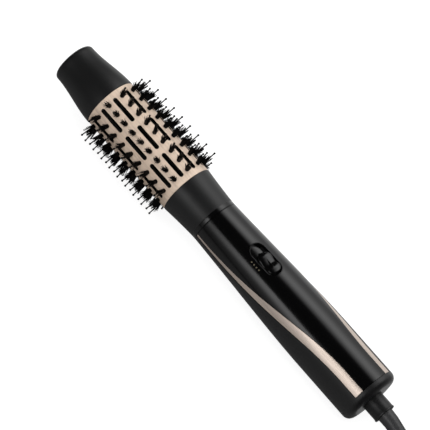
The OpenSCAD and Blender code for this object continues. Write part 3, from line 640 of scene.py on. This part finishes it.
sleeve_from = 36.0
sleeve_to = 46.1
pin_apart = 19.0
pin_halves = []
for hand in (-1, 1):
    pin = turned("plug_pin", [(25.0, 1.0), (25.0, 1.9), (36.0, 1.9), (36.0, 2.4), (46.0, 2.4), (46.3, 2.36),
                              (54.0, 2.36), (54.6, 2.1), (55.0, 1.6), (55.0, 0.6)], steps=40, closed=False)
    wear(pin, nickel)
    pin.data.materials.append(cord_rubber)
    for face in pin.data.polygons:
        if sleeve_from < face.center.x < sleeve_to:
            face.material_index = 1
    pin.data.transform(Matrix.Translation((0, hand * pin_apart / 2, 0)))
    pin_halves.append(pin)
plug_pins = joined(pin_halves)
plug_pins.name = "plug_pins_pair"
finish_plug_piece(plug_pins, "plug_pins")

# %% [markdown]
# ## The handle's form
#
# The handle swells from the neck to the grip, and its two seams wander from the sides at the neck to
# the front at the cord end. No operator gives such seams, so the shells are laid as grids of points by
# formula: a place along the brush, an angle round it and a radius. Borders that meet are merged, which
# closes each shell. The formulas are those of the construction model.


# %% Handle formulas
def swell(f):
    f = min(1, max(0, f))
    return f + 0.55 * f * f - 0.55 * f ** 4


neck_r = 17.2
full_x = 45


def handle_r(x):
    return neck_r + (grip_r - neck_r) * swell((handle_len + 1 - x) / (handle_len + 1 - full_x))


def outer_angle(x):
    return 48.5 + 41.5 * eased((x - 20) / 130)


def inner_angle(x):
    return 29.5 + 53.0 * eased((x - 22) / 133)


def spot(x, degrees, radius):
    """A place on the bench: x along the brush, an angle from the front towards the left, and a radius."""
    a = math.radians(degrees)
    return (x, radius * math.sin(a), radius * math.cos(a))


def patched(name, patches, fill=False):
    """One mesh from grids of places; borders that coincide are merged."""
    places = []
    faces = []
    for rows in patches:
        start = len(places)
        wide = len(rows[0])
        for row in rows:
            places += row
        for i in range(len(rows) - 1):
            for j in range(wide - 1):
                a = start + i * wide + j
                faces.append((a, a + 1, a + wide + 1, a + wide))
    piece = mesh_piece(name, places, faces)
    face_out(piece, merge=True, fill=fill)
    return piece


def spread(first, last, steps):
    return [first + (last - first) * i / steps for i in range(steps + 1)]


# %% [markdown]
# A face that is cut by a hole keeps only its own flat direction, and a polished surface shows that as a
# ripple. So after the cuts, each corner on the outer skin gets the true direction of the form there.


# %% True directions
def slope(radius_at, x):
    return (radius_at(x + 0.05) - radius_at(x - 0.05)) / 0.1


def direction_at(radius_at, place):
    out = Vector((0, place.y, place.z)).normalized()
    return Vector((-slope(radius_at, place.x), out.y, out.z)).normalized()


def true_skin(piece, radius_at):
    """Gives the skin of a piece that is round about X its exact normals."""
    mesh = piece.data
    limit = math.cos(math.radians(12))
    on_skin = 0.05
    directions = [tuple(c.vector) for c in mesh.corner_normals]
    for face in mesh.polygons:
        if face.normal.dot(direction_at(radius_at, face.center)) < limit:
            continue
        for corner in face.loop_indices:
            place = mesh.vertices[mesh.loops[corner].vertex_index].co
            if abs(math.hypot(place.y, place.z) - radius_at(place.x)) <= on_skin:
                directions[corner] = tuple(direction_at(radius_at, place))
    mesh.normals_split_custom_set(directions)


def cut(piece, cutters):
    """Cuts the joined cutters out of a piece."""
    tool = joined(cutters)
    apply(piece, "BOOLEAN", operation="DIFFERENCE", object=tool, solver="EXACT")
    bpy.data.objects.remove(tool)


def drill(x, y, z_from, z_to, radius, steps=40, turned_by=0.0):
    """A round cutter that stands on the brush's axis, turned round it by an angle."""
    nothing()
    bpy.ops.mesh.primitive_cylinder_add(vertices=steps, radius=radius, depth=z_to - z_from,
                                        location=(x, y, (z_from + z_to) / 2))
    tool = started("cutter")
    tool.data.transform(Matrix.Rotation(-math.radians(turned_by), 4, "X"))
    return tool


def slot_cutter(x, length, width, z_from, z_to, turned_by=0.0, steps=12):
    """A cutter with round ends: a cylinder whose two halves are pulled apart."""
    nothing()
    bpy.ops.mesh.primitive_cylinder_add(vertices=4 * steps, radius=width / 2, depth=z_to - z_from,
                                        rotation=(0, 0, math.pi / (4 * steps)))
    tool = started("cutter")
    pull = (length - width) / 2
    for v in tool.data.vertices:
        v.co.x += x + math.copysign(pull, v.co.x)
        v.co.z += (z_from + z_to) / 2
    tool.data.transform(Matrix.Rotation(-math.radians(turned_by), 4, "X"))
    return tool


# %% [markdown]
# ## Rear housing
#
# The rear shell goes all the way round at the cord end and leaves the front open from the seam on. A
# low ledge runs along each side of the opening, and the trim strips lie on it. Its points come in
# patches: the skin, the inside, the ledges, the cord end and the rims between them.

# %% Rear shell
seam_x = 6.0
wall = 2.2
pocket = 1.3
seam_gap = 0.1
bore_r = 7.9
places_x = spread(seam_x, 20, 6) + spread(20, handle_len, 56)[1:]


def rear_angles(x):
    o = outer_angle(x)
    return spread(o, 360 - o, 84)


def left_angles(x):
    return spread(inner_angle(x), outer_angle(x), 4)


def right_angles(x):
    return [360 - a for a in reversed(left_angles(x))]


def round_angles(x):
    i = inner_angle(x)
    return (spread(-i, i, 24) + left_angles(x)[1:] + rear_angles(x)[1:] + right_angles(x)[1:])


def rows_of(angles_at, depth):
    """Rows of places along the handle at a depth below its skin."""
    return [[spot(x, a, handle_r(x) - depth) for a in angles_at(x)] for x in places_x]


def rim(angles, x, depths):
    return [[spot(x, a, handle_r(x) - d) for a in angles] for d in depths]


cap_skin = [(0, bore_r), (0, 12), (0, 15.2)] + arc(5.0, 16.0, 5.0, 180, 90, 10) + [(seam_x, grip_r)]
cap_inside = [(wall, bore_r), (wall, 12), (wall, 15.2)] + arc(5.0, 16.0, 2.8, 180, 90, 10)
cap_inside.append((seam_x, grip_r - wall))
patches = [
    [[spot(x, a, r) for a in round_angles(x)] for x, r in cap_skin],
    [[spot(x, a, r) for a in round_angles(x)] for x, r in cap_inside],
    [[spot(x, a, bore_r) for a in round_angles(0)] for x in (0, wall)],
    rim(spread(-inner_angle(6), inner_angle(6), 24), seam_x, (0, pocket, wall)),
    rows_of(rear_angles, 0),
    rows_of(lambda x: left_angles(x) + rear_angles(x)[1:] + right_angles(x)[1:], wall),
    rim(rear_angles(handle_len), handle_len, (0, pocket, wall)),
]
for angles_at, at_step, at_end in ((left_angles, -1, 0), (right_angles, 0, -1)):
    patches.append(rim(angles_at(seam_x), seam_x, (0, pocket)))
    patches.append(rows_of(angles_at, pocket))
    patches.append(rim(angles_at(handle_len), handle_len, (pocket, wall)))
    step_at = [angles_at(x)[at_step] for x in places_x]
    end_at = [angles_at(x)[at_end] for x in places_x]
    patches.append([[spot(x, a, handle_r(x) - d) for d in (0, pocket)] for x, a in zip(places_x, step_at)])
    patches.append([[spot(x, a, handle_r(x) - d) for d in (pocket, wall)] for x, a in zip(places_x, end_at)])
rear = patched("rear_shell", patches)
apply(rear, "BEVEL", width=0.14, segments=2, limit_method="ANGLE", angle_limit=math.radians(40))
inlet_x, inlet_len, inlet_w, inlet_step = 44, 32, 2.2, 11
screws_x, screw_hole_r = (20, 85), 2.9
cutters = [slot_cutter(inlet_x, inlet_len, inlet_w, 15, 24, 180 + inlet_step * k) for k in range(-3, 4)]
cutters += [drill(x, 0, -24, -16.5, screw_hole_r) for x in screws_x]
cut(rear, cutters)
smooth(rear, 35)


def housing_r(x):
    if x >= 5:
        return handle_r(x)
    return 16 + math.sqrt(max(0.0, 25 - (5 - x) ** 2))


true_skin(rear, housing_r)
set_down(rear, "handle", "rear_housing", satin_black)

# %% [markdown]
# ## Front panel
#
# The polished front panel follows the same form between the two strips. Its switch well is cut
# straight down, and so are the four pits for the setting dots.

# %% Front panel
gap_deg = math.degrees(seam_gap / 19)


def panel_angles(x):
    i = inner_angle(x) - gap_deg
    return spread(-i, i, 72)


def block(name, places, angles_at, top, thick):
    """A curved plate between two edges that follows the handle, closed all round."""
    skin = [[spot(x, a, handle_r(x) - top) for a in angles_at(x)] for x in places]
    under = [[spot(x, a, handle_r(x) - top - thick) for a in angles_at(x)] for x in places]
    sides = [[[over[k], below[k]] for over, below in zip(skin, under)] for k in (0, -1)]
    ends = [[skin[k], under[k]] for k in (0, -1)]
    return patched(name, [skin, under] + sides + ends)


panel_x = spread(seam_x + seam_gap, handle_len, 90)
panel = block("front_panel_shell", panel_x, panel_angles, 0, wall)
apply(panel, "BEVEL", width=0.14, segments=3, limit_method="ANGLE", angle_limit=math.radians(40))
switch_x = 112.0
well_len = 27.0
well_w = 12.7
dots_x = [116.3, 113.9, 111.5, 109.1]
dot_r = 0.56
dots_angle = 26.5
cutters = [slot_cutter(switch_x, well_len, well_w, 10, 24, steps=16)]
cutters += [drill(x, 0, handle_r(x) - 0.5, handle_r(x) + 2, dot_r, 24, dots_angle) for x in dots_x]
cut(panel, cutters)
smooth(panel, 35)
true_skin(panel, handle_r)
set_down(panel, "handle", "front_panel", gloss_black)

# %% [markdown]
# ## Trim strips
#
# Two thin champagne inlays fill the seams. They lie a little lower than the panel, so that a narrow
# shadow runs along them.

# %% Strips
strip_x = spread(seam_x + seam_gap, handle_len - 0.1, 90)
for side_name, hand in (("left", 1), ("right", -1)):
    def strip_angles(x):
        edges = (inner_angle(x) + gap_deg, outer_angle(x) - gap_deg)
        return [hand * a for a in spread(edges[0], edges[1], 8)]

    strip = block("trim_inlay_" + side_name, strip_x, strip_angles, 0.3, 0.98)
    apply(strip, "BEVEL", width=0.18, segments=3, limit_method="ANGLE", angle_limit=math.radians(40))
    smooth(strip, 35)
    true_skin(strip, lambda x: handle_r(x) - 0.3)
    set_down(strip, "handle", "trim_strip_" + side_name, champagne_trim)

# %% [markdown]
# ## Switch well and knob
#
# The well's frame is a thin wall with round ends. Its lip stands a quarter of a millimetre above the
# panel and catches the light. Both it and the knob are built from rings that share one outline, each
# ring a little further in or up. Their tops follow the handle's curve.


# %% Outline with round ends
def racetrack(x, length, width, inset, height):
    """Places round an outline with round ends, at an inset from it, each at its own height."""
    steps = 20
    r = max(0.02, width / 2 - inset)
    half = (length - width) / 2
    ring = []
    for sign in (1, -1):
        for k in range(steps + 1):
            a = math.radians(-90 + 180 * k / steps)
            ring.append((x + sign * (half + r * math.cos(a)), sign * r * math.sin(a)))
        ring += [(x + sign * half * (1 - 2 * k / 12), sign * r) for k in range(1, 12)]
    return [(px, py, height(px, py)) for px, py in ring + ring[:1]]


# %% Switch well
well_base = 14.9
floor_z = 15.95
floor_arch = 18


def well_floor(x, y):
    """The well's floor is arched like the panel."""
    return floor_z - (floor_arch - math.sqrt(floor_arch ** 2 - y * y))


def well_ring(inset, height):
    return racetrack(switch_x, well_len, well_w, inset, height)


under_rings = [well_ring(inset, lambda x, y: well_base) for inset in (0.1, 3.5, 6.33)]
rings = under_rings[:1]
for inset, proud in ((0.1, 0.05), (0.18, 0.2), (0.32, 0.26), (0.48, 0.26), (0.62, 0.18), (0.7, 0.02)):
    rings.append(well_ring(inset, lambda x, y: math.sqrt((handle_r(x) + proud) ** 2 - y * y)))
rings += [well_ring(inset, well_floor) for inset in (0.8, 2.0, 3.5, 5.0, 6.33)]
well = patched("switch_well", [rings, under_rings], fill=True)
cut(well, [slot_cutter(switch_x, 12.6, 2.6, 14, 17)])
smooth(well, 30)
set_down(well, "handle", "switch_frame", gloss_black)

# %% Knob
knob_x = 108.4
knob_len = 18.2
knob_w = 10.6
knob_base = 16.05
knob_top = handle_r(knob_x) + 0.9
knob_crown = 36


def knob_height(x):
    u = (x - knob_x) / (knob_len / 2)
    return knob_top - 0.75 + 0.75 * math.sin(math.radians(abs(u) * 270 - 60)) - 0.6 * u ** 6


def knob_ring(inset, height):
    return racetrack(knob_x, knob_len, knob_w, inset, height)


rings = [knob_ring(inset, lambda x, y: knob_base + lift) for inset, lift in ((1.2, 0), (0.35, 0), (0.0, 0.4))]
for inset, drop in ((0.0, 1.2), (0.08, 0.75), (0.3, 0.36), (0.65, 0.12), (1.1, 0.02), (1.7, 0), (2.4, 0),
                    (3.2, 0), (4.1, 0), (4.8, 0), (5.28, 0)):
    rings.append(knob_ring(inset, lambda x, y: knob_height(x) - drop - y * y / knob_crown))
knob = patched("slide_knob", [rings], fill=True)
nothing()
bpy.ops.mesh.primitive_cube_add(size=1, location=(knob_x, 0, (11.8 + knob_base) / 2))
stem = bpy.context.object
stem.scale = (3, 1.6, knob_base + 0.1 - 11.8)
stem = started("stem")
apply(stem, "BEVEL", width=0.2, segments=2)
knob = joined([knob, stem])
smooth(knob, 50)
set_down(knob, "switch", "switch_knob", gloss_black)

# %% [markdown]
# ## Neck: lock ring and collar
#
# The glossy lock ring sits in a narrow gap between the handle and the satin collar. The collar widens
# in a soft curve until it meets the barrel.

# %% Lock ring and collar
ring_end = ring_to - 0.35
ring_outline = ([(ring_from, 15.1)] + arc(ring_from + 0.5, ring_r - 0.5, 0.5, 180, 90, 8)
                + arc(ring_end - 0.4, ring_r - 0.4, 0.4, 90, 0, 8) + [(ring_end, 15.1)])
ring = turned("release_ring", ring_outline, steps=160)
smooth(ring, 40)
set_down(ring, "ring", "lock_ring", gloss_black)

collar_long = barrel_from - collar_from


def collar_side(x):
    f = min(1, max(0, (x - collar_from) / collar_long))
    return 17.25 + 1.95 * f ** 1.3


collar_start_r = collar_side(collar_from)
collar_outline = [(collar_from, 15.2), (collar_from, collar_start_r - 0.75),
                  (collar_from + 0.25, collar_start_r - 0.35),
                  (collar_from + 0.7, collar_side(collar_from + 0.7))]
collar_outline += [(x, collar_side(x)) for x in spread(collar_from + 1.5, barrel_from - 0.6, 22)]
collar_outline += [(barrel_from - 0.2, collar_side(barrel_from) - 0.06), (barrel_from - 0.05, 19.0),
                   (barrel_from - 0.05, 18.1), (collar_end, 18.1), (collar_end, 16.9),
                   (barrel_from, 16.9), (barrel_from, 15.2)]
collar = turned("neck_collar", collar_outline, steps=160)
smooth(collar, 35)
set_down(collar, "head", "collar", satin_black)

# %% [markdown]
# ## Barrel
#
# The barrel is a thin tube of anodised aluminium. Eleven rows of small holes let the bristles through,
# and between them are rows of long slots for the air. The tube is turned first, then all the cutters
# are stood round it, joined and cut out at once.

# %% Barrel
rows = 11
row_step = 360 / rows
tufts_x = [190.85 + 8.25 * i for i in range(9)]
slots_mid = [199.1, 223.85, 248.6]
hole_r, slot_len, slot_w = 1.5, 20.4, 3.1
barrel_in = barrel_r - 0.8
skin_rows = spread(barrel_from, barrel_to, 12)
outline = [(barrel_from, barrel_in + 0.1), (barrel_from, barrel_r - 0.12), (barrel_from + 0.12, barrel_r)]
outline += [(x, barrel_r) for x in skin_rows[1:-1]]
outline += [(barrel_to - 0.12, barrel_r), (barrel_to, barrel_r - 0.12), (barrel_to, barrel_in + 0.1),
            (barrel_to - 0.1, barrel_in), (barrel_from + 0.1, barrel_in)]
barrel = turned("barrel_tube", outline, steps=264)
cutters = []
for row in range(rows):
    cutters += [drill(x, 0, 17, 20.5, hole_r, 24, row_step * row) for x in tufts_x]
    cutters += [slot_cutter(x, slot_len, slot_w, 17, 20.5, row_step * (row + 0.5), 8) for x in slots_mid]
cut(barrel, cutters)
smooth(barrel, 35)
true_skin(barrel, lambda x: barrel_r)
wear(barrel, champagne_barrel)
# Faces below the outer skin get the near-black finish that reflects nothing. These are the walls of the holes and
# slots and the tube's inside. The finish is a dark inner coat, and also painted shade that keeps the slots dark.
barrel.data.materials.append(barrel_inner_coat_and_shade)
for face in barrel.data.polygons:
    if math.hypot(face.center.y, face.center.z) < barrel_r - 0.15:
        face.material_index = 1
set_down(barrel, "head", "barrel")

# %% [markdown]
# ## Cool tip
#
# The end of the head stays cool enough to hold. It is a satin cap that narrows slightly and has a
# rounded corner at its end.

# %% Tip


def tip_side(x):
    f = min(1, max(0, (x - tip_shoulder) / (tip_end - 2.5 - tip_shoulder)))
    return 15.4 + 3.9 * eased(1 - f)


tip_shoulder = barrel_to + 0.05
tip_end = tip_to
tip_outline = [(tip_end - 4.6, 2.0), (tip_end - 4.6, 10.0), (tip_end - 6.0, 12.5)]
tip_outline += [(x, tip_side(x) - 2.6) for x in spread(tip_end - 8, tip_shoulder + 1.5, 8)]
tip_outline += [(tip_shoulder, 16.9), (tip_from, 16.9), (tip_from, 18.1), (tip_shoulder, 18.1),
                (tip_shoulder, 19.0), (tip_shoulder + 0.35, tip_side(tip_shoulder) - 0.02)]
tip_outline += [(x, tip_side(x)) for x in spread(tip_shoulder + 1.2, tip_end - 2.5, 26)][:-1]
tip_outline += arc(tip_end - 2.5, 12.9, 2.5, 82, 0, 8) + [(tip_end, 8.0), (tip_end, 2.0)]
tip = turned("cool_grip", tip_outline, steps=160, closed=False)
smooth(tip, 35)
set_down(tip, "head", "cool_tip", satin_black)

# %% [markdown]
# ## Sleeve at the cord end
#
# The swivel's fixed sleeve stands out of the handle. It has a small lip at its end.

# %% Sleeve
sleeve_outline = [(4.1, 6.2), (4.1, 9.6), (2.3, 9.6), (2.3, 7.55), (gland_from + 1.45, 7.55),
                  (gland_from + 1.2, 7.68), (gland_from + 1.1, 7.8), (gland_from + 0.3, 7.8),
                  (gland_from + 0.08, 7.7), (gland_from, 7.5), (gland_from, 6.45), (gland_from + 0.2, 6.2)]
sleeve = turned("swivel_sleeve", sleeve_outline, steps=96)
smooth(sleeve, 35)
set_down(sleeve, "handle", "gland_sleeve", satin_black)

# %% [markdown]
# ## Bristles
#
# Each hole holds a tuft of fine nylon bristles round one thick pin with a ball tip. The bristles lean
# out from the hole by different amounts and end at different heights, which gives the spiky look.
# There are 99 tufts, so one tuft has few faces. Three shapes of tuft are made, and each copy is turned
# by a different amount so that no two neighbours match.


# %% Rods
def rod(rings, around, places, faces):
    """Adds a closed rod to a mesh's places and faces, from the middle and radius of each ring."""
    start = len(places)
    for middle, r in rings:
        for k in range(around):
            a = 2 * math.pi * k / around
            places.append((middle.x + r * math.cos(a), middle.y + r * math.sin(a), middle.z))
    last = start + (len(rings) - 1) * around
    for level in range(start, last, around):
        for k in range(around):
            a, b = level + k, level + (k + 1) % around
            faces.append((a, b, b + around, a + around))
    faces.append(tuple(range(last, last + around)))
    faces.append(tuple(reversed(range(start, start + around))))


# %% Three shapes of tuft
seeded = random.Random(7)
tuft_foot = 18.2
tuft_top = 26.8
bristles = 20
bristle_r = 0.34
shapes = []
for kind in range(3):
    places, faces = [], []
    for k in range(bristles):
        a = 2 * math.pi * (k + seeded.uniform(-0.25, 0.25)) / bristles
        lean = seeded.uniform(0.4, 2.1)
        foot_at = 1.05 if k % 2 else 0.6
        head_at = foot_at + lean * 0.95
        head_z = tuft_top - 0.02 - 3.0 * seeded.random() ** 1.8
        foot = Vector((foot_at * math.cos(a), foot_at * math.sin(a), tuft_foot))
        head = Vector((head_at * math.cos(a), head_at * math.sin(a), head_z))
        middle = foot.lerp(head, 0.5) - Vector((head.x - foot.x, head.y - foot.y, 0)) * 0.12
        rod([(foot, bristle_r), (middle, bristle_r * 0.92), (head, bristle_r * 0.6)], 3, places, faces)
    shapes.append((places, faces))


# %% Tufts
def stood_round(name, shapes_by_place):
    """One mesh from shapes that stand on the axis, each at a place along it and an angle round it."""
    all_places, all_faces = [], []
    for (places, faces), x, degrees, twist in shapes_by_place:
        start = len(all_places)
        stand = (Matrix.Translation((x, 0, 0)) @ Matrix.Rotation(-math.radians(degrees), 4, "X")
                 @ Matrix.Rotation(math.radians(twist), 4, "Z"))
        all_places += [tuple(stand @ Vector(p)) for p in places]
        all_faces += [tuple(start + i for i in f) for f in faces]
    return mesh_piece(name, all_places, all_faces)


stands = [(shapes[seeded.randrange(3)], x, row_step * row, seeded.uniform(0, 360))
          for row in range(rows) for x in tufts_x]
tuft_piece = stood_round("tufts", stands)
face_out(tuft_piece)
smooth(tuft_piece, 80)
set_down(tuft_piece, "head", "bristle_tufts", bristle_nylon)

# %% [markdown]
# The ball-tipped pins glide over the scalp. They are moulded on flexible strips behind the barrel. A
# pin is turned from one outline: a round shaft, a slight neck and the ball.

# %% Pins with ball tips
ball_r = 0.75
ball_mid = 29.55
strip_top = 18.05
strip_thick = 1.15
pin_profile = [(strip_top - 0.1, 0.7), (strip_top + 0.5, 0.48), (ball_mid - 1.2, 0.40),
               (ball_mid - 0.62, 0.42), (ball_mid - 0.4, 0.62), (ball_mid, ball_r),
               (ball_mid + 0.42, 0.62), (ball_mid + 0.68, 0.3), (ball_mid + 0.74, 0.06)]
places, faces = [], []
rod([(Vector((0, 0, z)), r) for z, r in pin_profile], 8, places, faces)
stands = [((places, faces), x, row_step * row, 22.5 * (row % 2)) for row in range(rows) for x in tufts_x]
pins_piece = stood_round("ball_tip_pins", stands)
first, last = reach("bristle_strips")[:2]
strips = []
for row in range(rows):
    nothing()
    bpy.ops.mesh.primitive_cube_add(size=1, location=((first + last) / 2, 0, strip_top - strip_thick / 2))
    backing = bpy.context.object
    backing.scale = (last - first, 3.4, strip_thick)
    backing = started("backing")
    apply(backing, "BEVEL", width=0.3, segments=2)
    backing.data.transform(Matrix.Rotation(-math.radians(row_step * row), 4, "X"))
    strips.append(backing)
pins_piece = joined([pins_piece] + strips)
face_out(pins_piece)
smooth(pins_piece, 50)
set_down(pins_piece, "head", "bristle_strips", pin_nylon)

# %% [markdown]
# ## Table and light
#
# A white table, and two long soft lamps beside the brush, one on its left and one on its right. A
# polished black surface shows nothing but its lamps, so the place where each lamp starts and ends
# decides where the panel is light and where it stays black. The lamps are placed round the brush's own
# axis, by the angle from straight above it.


# %% Table
far = 3.0
table_grey = 0.30
table_glow = 0.84
mirrored_share = 0.6
table_corners = [(-far, -far, 0), (far, -far, 0), (far, far, 0), (-far, far, 0)]
table_top = mesh_piece("table", table_corners, [(0, 1, 2, 3)])
paper = bpy.data.materials.new("white_paper")
paper.use_nodes = True
tree = paper.node_tree
tree.nodes.clear()
link = tree.links.new
out = add(tree, "OutputMaterial")
matt = add(tree, "BsdfDiffuse", Color=(table_grey, table_grey, table_grey, 1))
lit = add(tree, "Emission", Color=(1, 1, 1, 1))
ways = add(tree, "LightPath")
mirrored = add(tree, "Math", "MULTIPLY")
mirrored.inputs[1].default_value = mirrored_share
either = add(tree, "Math", "MAXIMUM")
any_way = add(tree, "Math", "MAXIMUM")
strength = add(tree, "Math", "MULTIPLY")
strength.inputs[1].default_value = table_glow
both = add(tree, "AddShader")
link(ways.outputs["Is Camera Ray"], either.inputs[0])
link(ways.outputs["Is Glossy Ray"], mirrored.inputs[0])
link(mirrored.outputs[0], either.inputs[1])
link(either.outputs[0], any_way.inputs[0])
link(ways.outputs["Is Transmission Ray"], any_way.inputs[1])
link(any_way.outputs[0], strength.inputs[0])
link(strength.outputs[0], lit.inputs["Strength"])
link(matt.outputs[0], both.inputs[0])
link(lit.outputs[0], both.inputs[1])
link(both.outputs[0], out.inputs["Surface"])
table_top.data.materials.append(paper)

# %% Room
world = bpy.data.worlds.new("studio")
world.use_nodes = True
bpy.context.scene.world = world
room = world.node_tree.nodes["Background"]
room.inputs["Color"].default_value = (1, 1, 1, 1)
room.inputs["Strength"].default_value = 0.03


# %% A lamp that fades to one side
def grade(lamp, middle, half, fades):
    """Lets a lamp's glow change across it; fades are pairs of an angle and a share of the glow."""
    lamp.use_nodes = True
    tree = lamp.node_tree
    place = add(tree, "NewGeometry")
    parts = add(tree, "SeparateXYZ")
    ramp = add(tree, "ValToRGB")
    tree.links.new(place.outputs["Parametric"], parts.inputs[0])
    tree.links.new(parts.outputs["Y"], ramp.inputs["Fac"])
    tree.links.new(ramp.outputs["Color"], tree.nodes["Emission"].inputs["Color"])
    stops = sorted((0.5 + math.tan(math.radians(a - middle)) / (2 * half), share) for a, share in fades)
    elements = ramp.color_ramp.elements
    for k, (spot_across, share) in enumerate(stops):
        element = elements[k] if k < 2 else elements.new(spot_across)
        element.position = spot_across
        element.color = (share, share, share, 1)


# %% Lamps
def softbox(name, first, last, away, x_from, x_to, glow, fades=()):
    """A lamp along the brush that covers the angles from first to last; glow 1 is white."""
    middle = (first + last) / 2
    half = math.tan(math.radians(abs(last - first) / 2))
    width = 2 * away * half
    length = x_to - x_from
    lamp = bpy.data.lights.new(name, "AREA")
    lamp.shape = "RECTANGLE"
    lamp.size = length
    lamp.size_y = width
    lamp.energy = glow * math.pi * length * width
    holder = placed(name, lamp)
    side = math.radians(middle)
    outward = Vector((0, math.sin(side), math.cos(side)))
    side_on = outward.cross(Vector((1, 0, 0)))
    stand = Matrix((Vector((1, 0, 0)), side_on, outward)).transposed().to_4x4()
    stand.translation = Vector(((x_from + x_to) / 2, 0, 0)) + outward * away
    holder.matrix_world = to_table @ stand
    if fades:
        grade(lamp, middle, half, fades)
    print(name, "width", round(width, 2), "power", round(lamp.energy, 2))
    return holder


softbox("left_lamp", 39.5, 88, 0.9, -0.3, 0.4, 2.5,
        fades=((39.5, 1), (51, 0.97), (57, 0.68), (63, 0.36), (69, 0.18), (76, 0.12), (88, 0.08)))
softbox("right_lamp", -17, -92, 0.9, -0.5, 0.62, 2.4,
        fades=((-17, 0.05), (-25.5, 0.45), (-32, 0.8), (-38.7, 1), (-45.7, 0.95), (-53, 0.74),
               (-61, 0.5), (-69, 0.36), (-78, 0.28), (-92, 0.25)))
fill = softbox("front_fill", -8, 36, 1.3, -1.0, 1.3, 2.3)
fill.visible_glossy = False

# %% [markdown]
# The brush's left side and its cord end would mirror the white table. A photographer lays dark cards
# there, just outside the picture. Here the card is seen by reflections only, so it may reach right up
# to the line where the handle touches the table.

# %% Dark card
card_z = 0.0004
card_side = 0.005
card_end = -0.158
corners = [(-1.5, card_side), (1.5, card_side), (1.5, 2.5), (-1.5, 2.5), (-1.5, -1.5), (card_end, -1.5),
           (card_end, card_side)]
card = mesh_piece("dark_card", [(x, y, card_z) for x, y in corners], [(0, 1, 2, 3), (4, 5, 6, 0)])
card_stock = bpy.data.materials.new("card_stock")
card_stock.use_nodes = True
stock = card_stock.node_tree.nodes["Principled BSDF"].inputs
stock["Base Color"].default_value = (0.25, 0.25, 0.25, 1)
stock["Roughness"].default_value = 0.8
card.data.materials.append(card_stock)
for way in ("camera", "diffuse", "transmission", "shadow"):
    setattr(card, "visible_" + way, False)
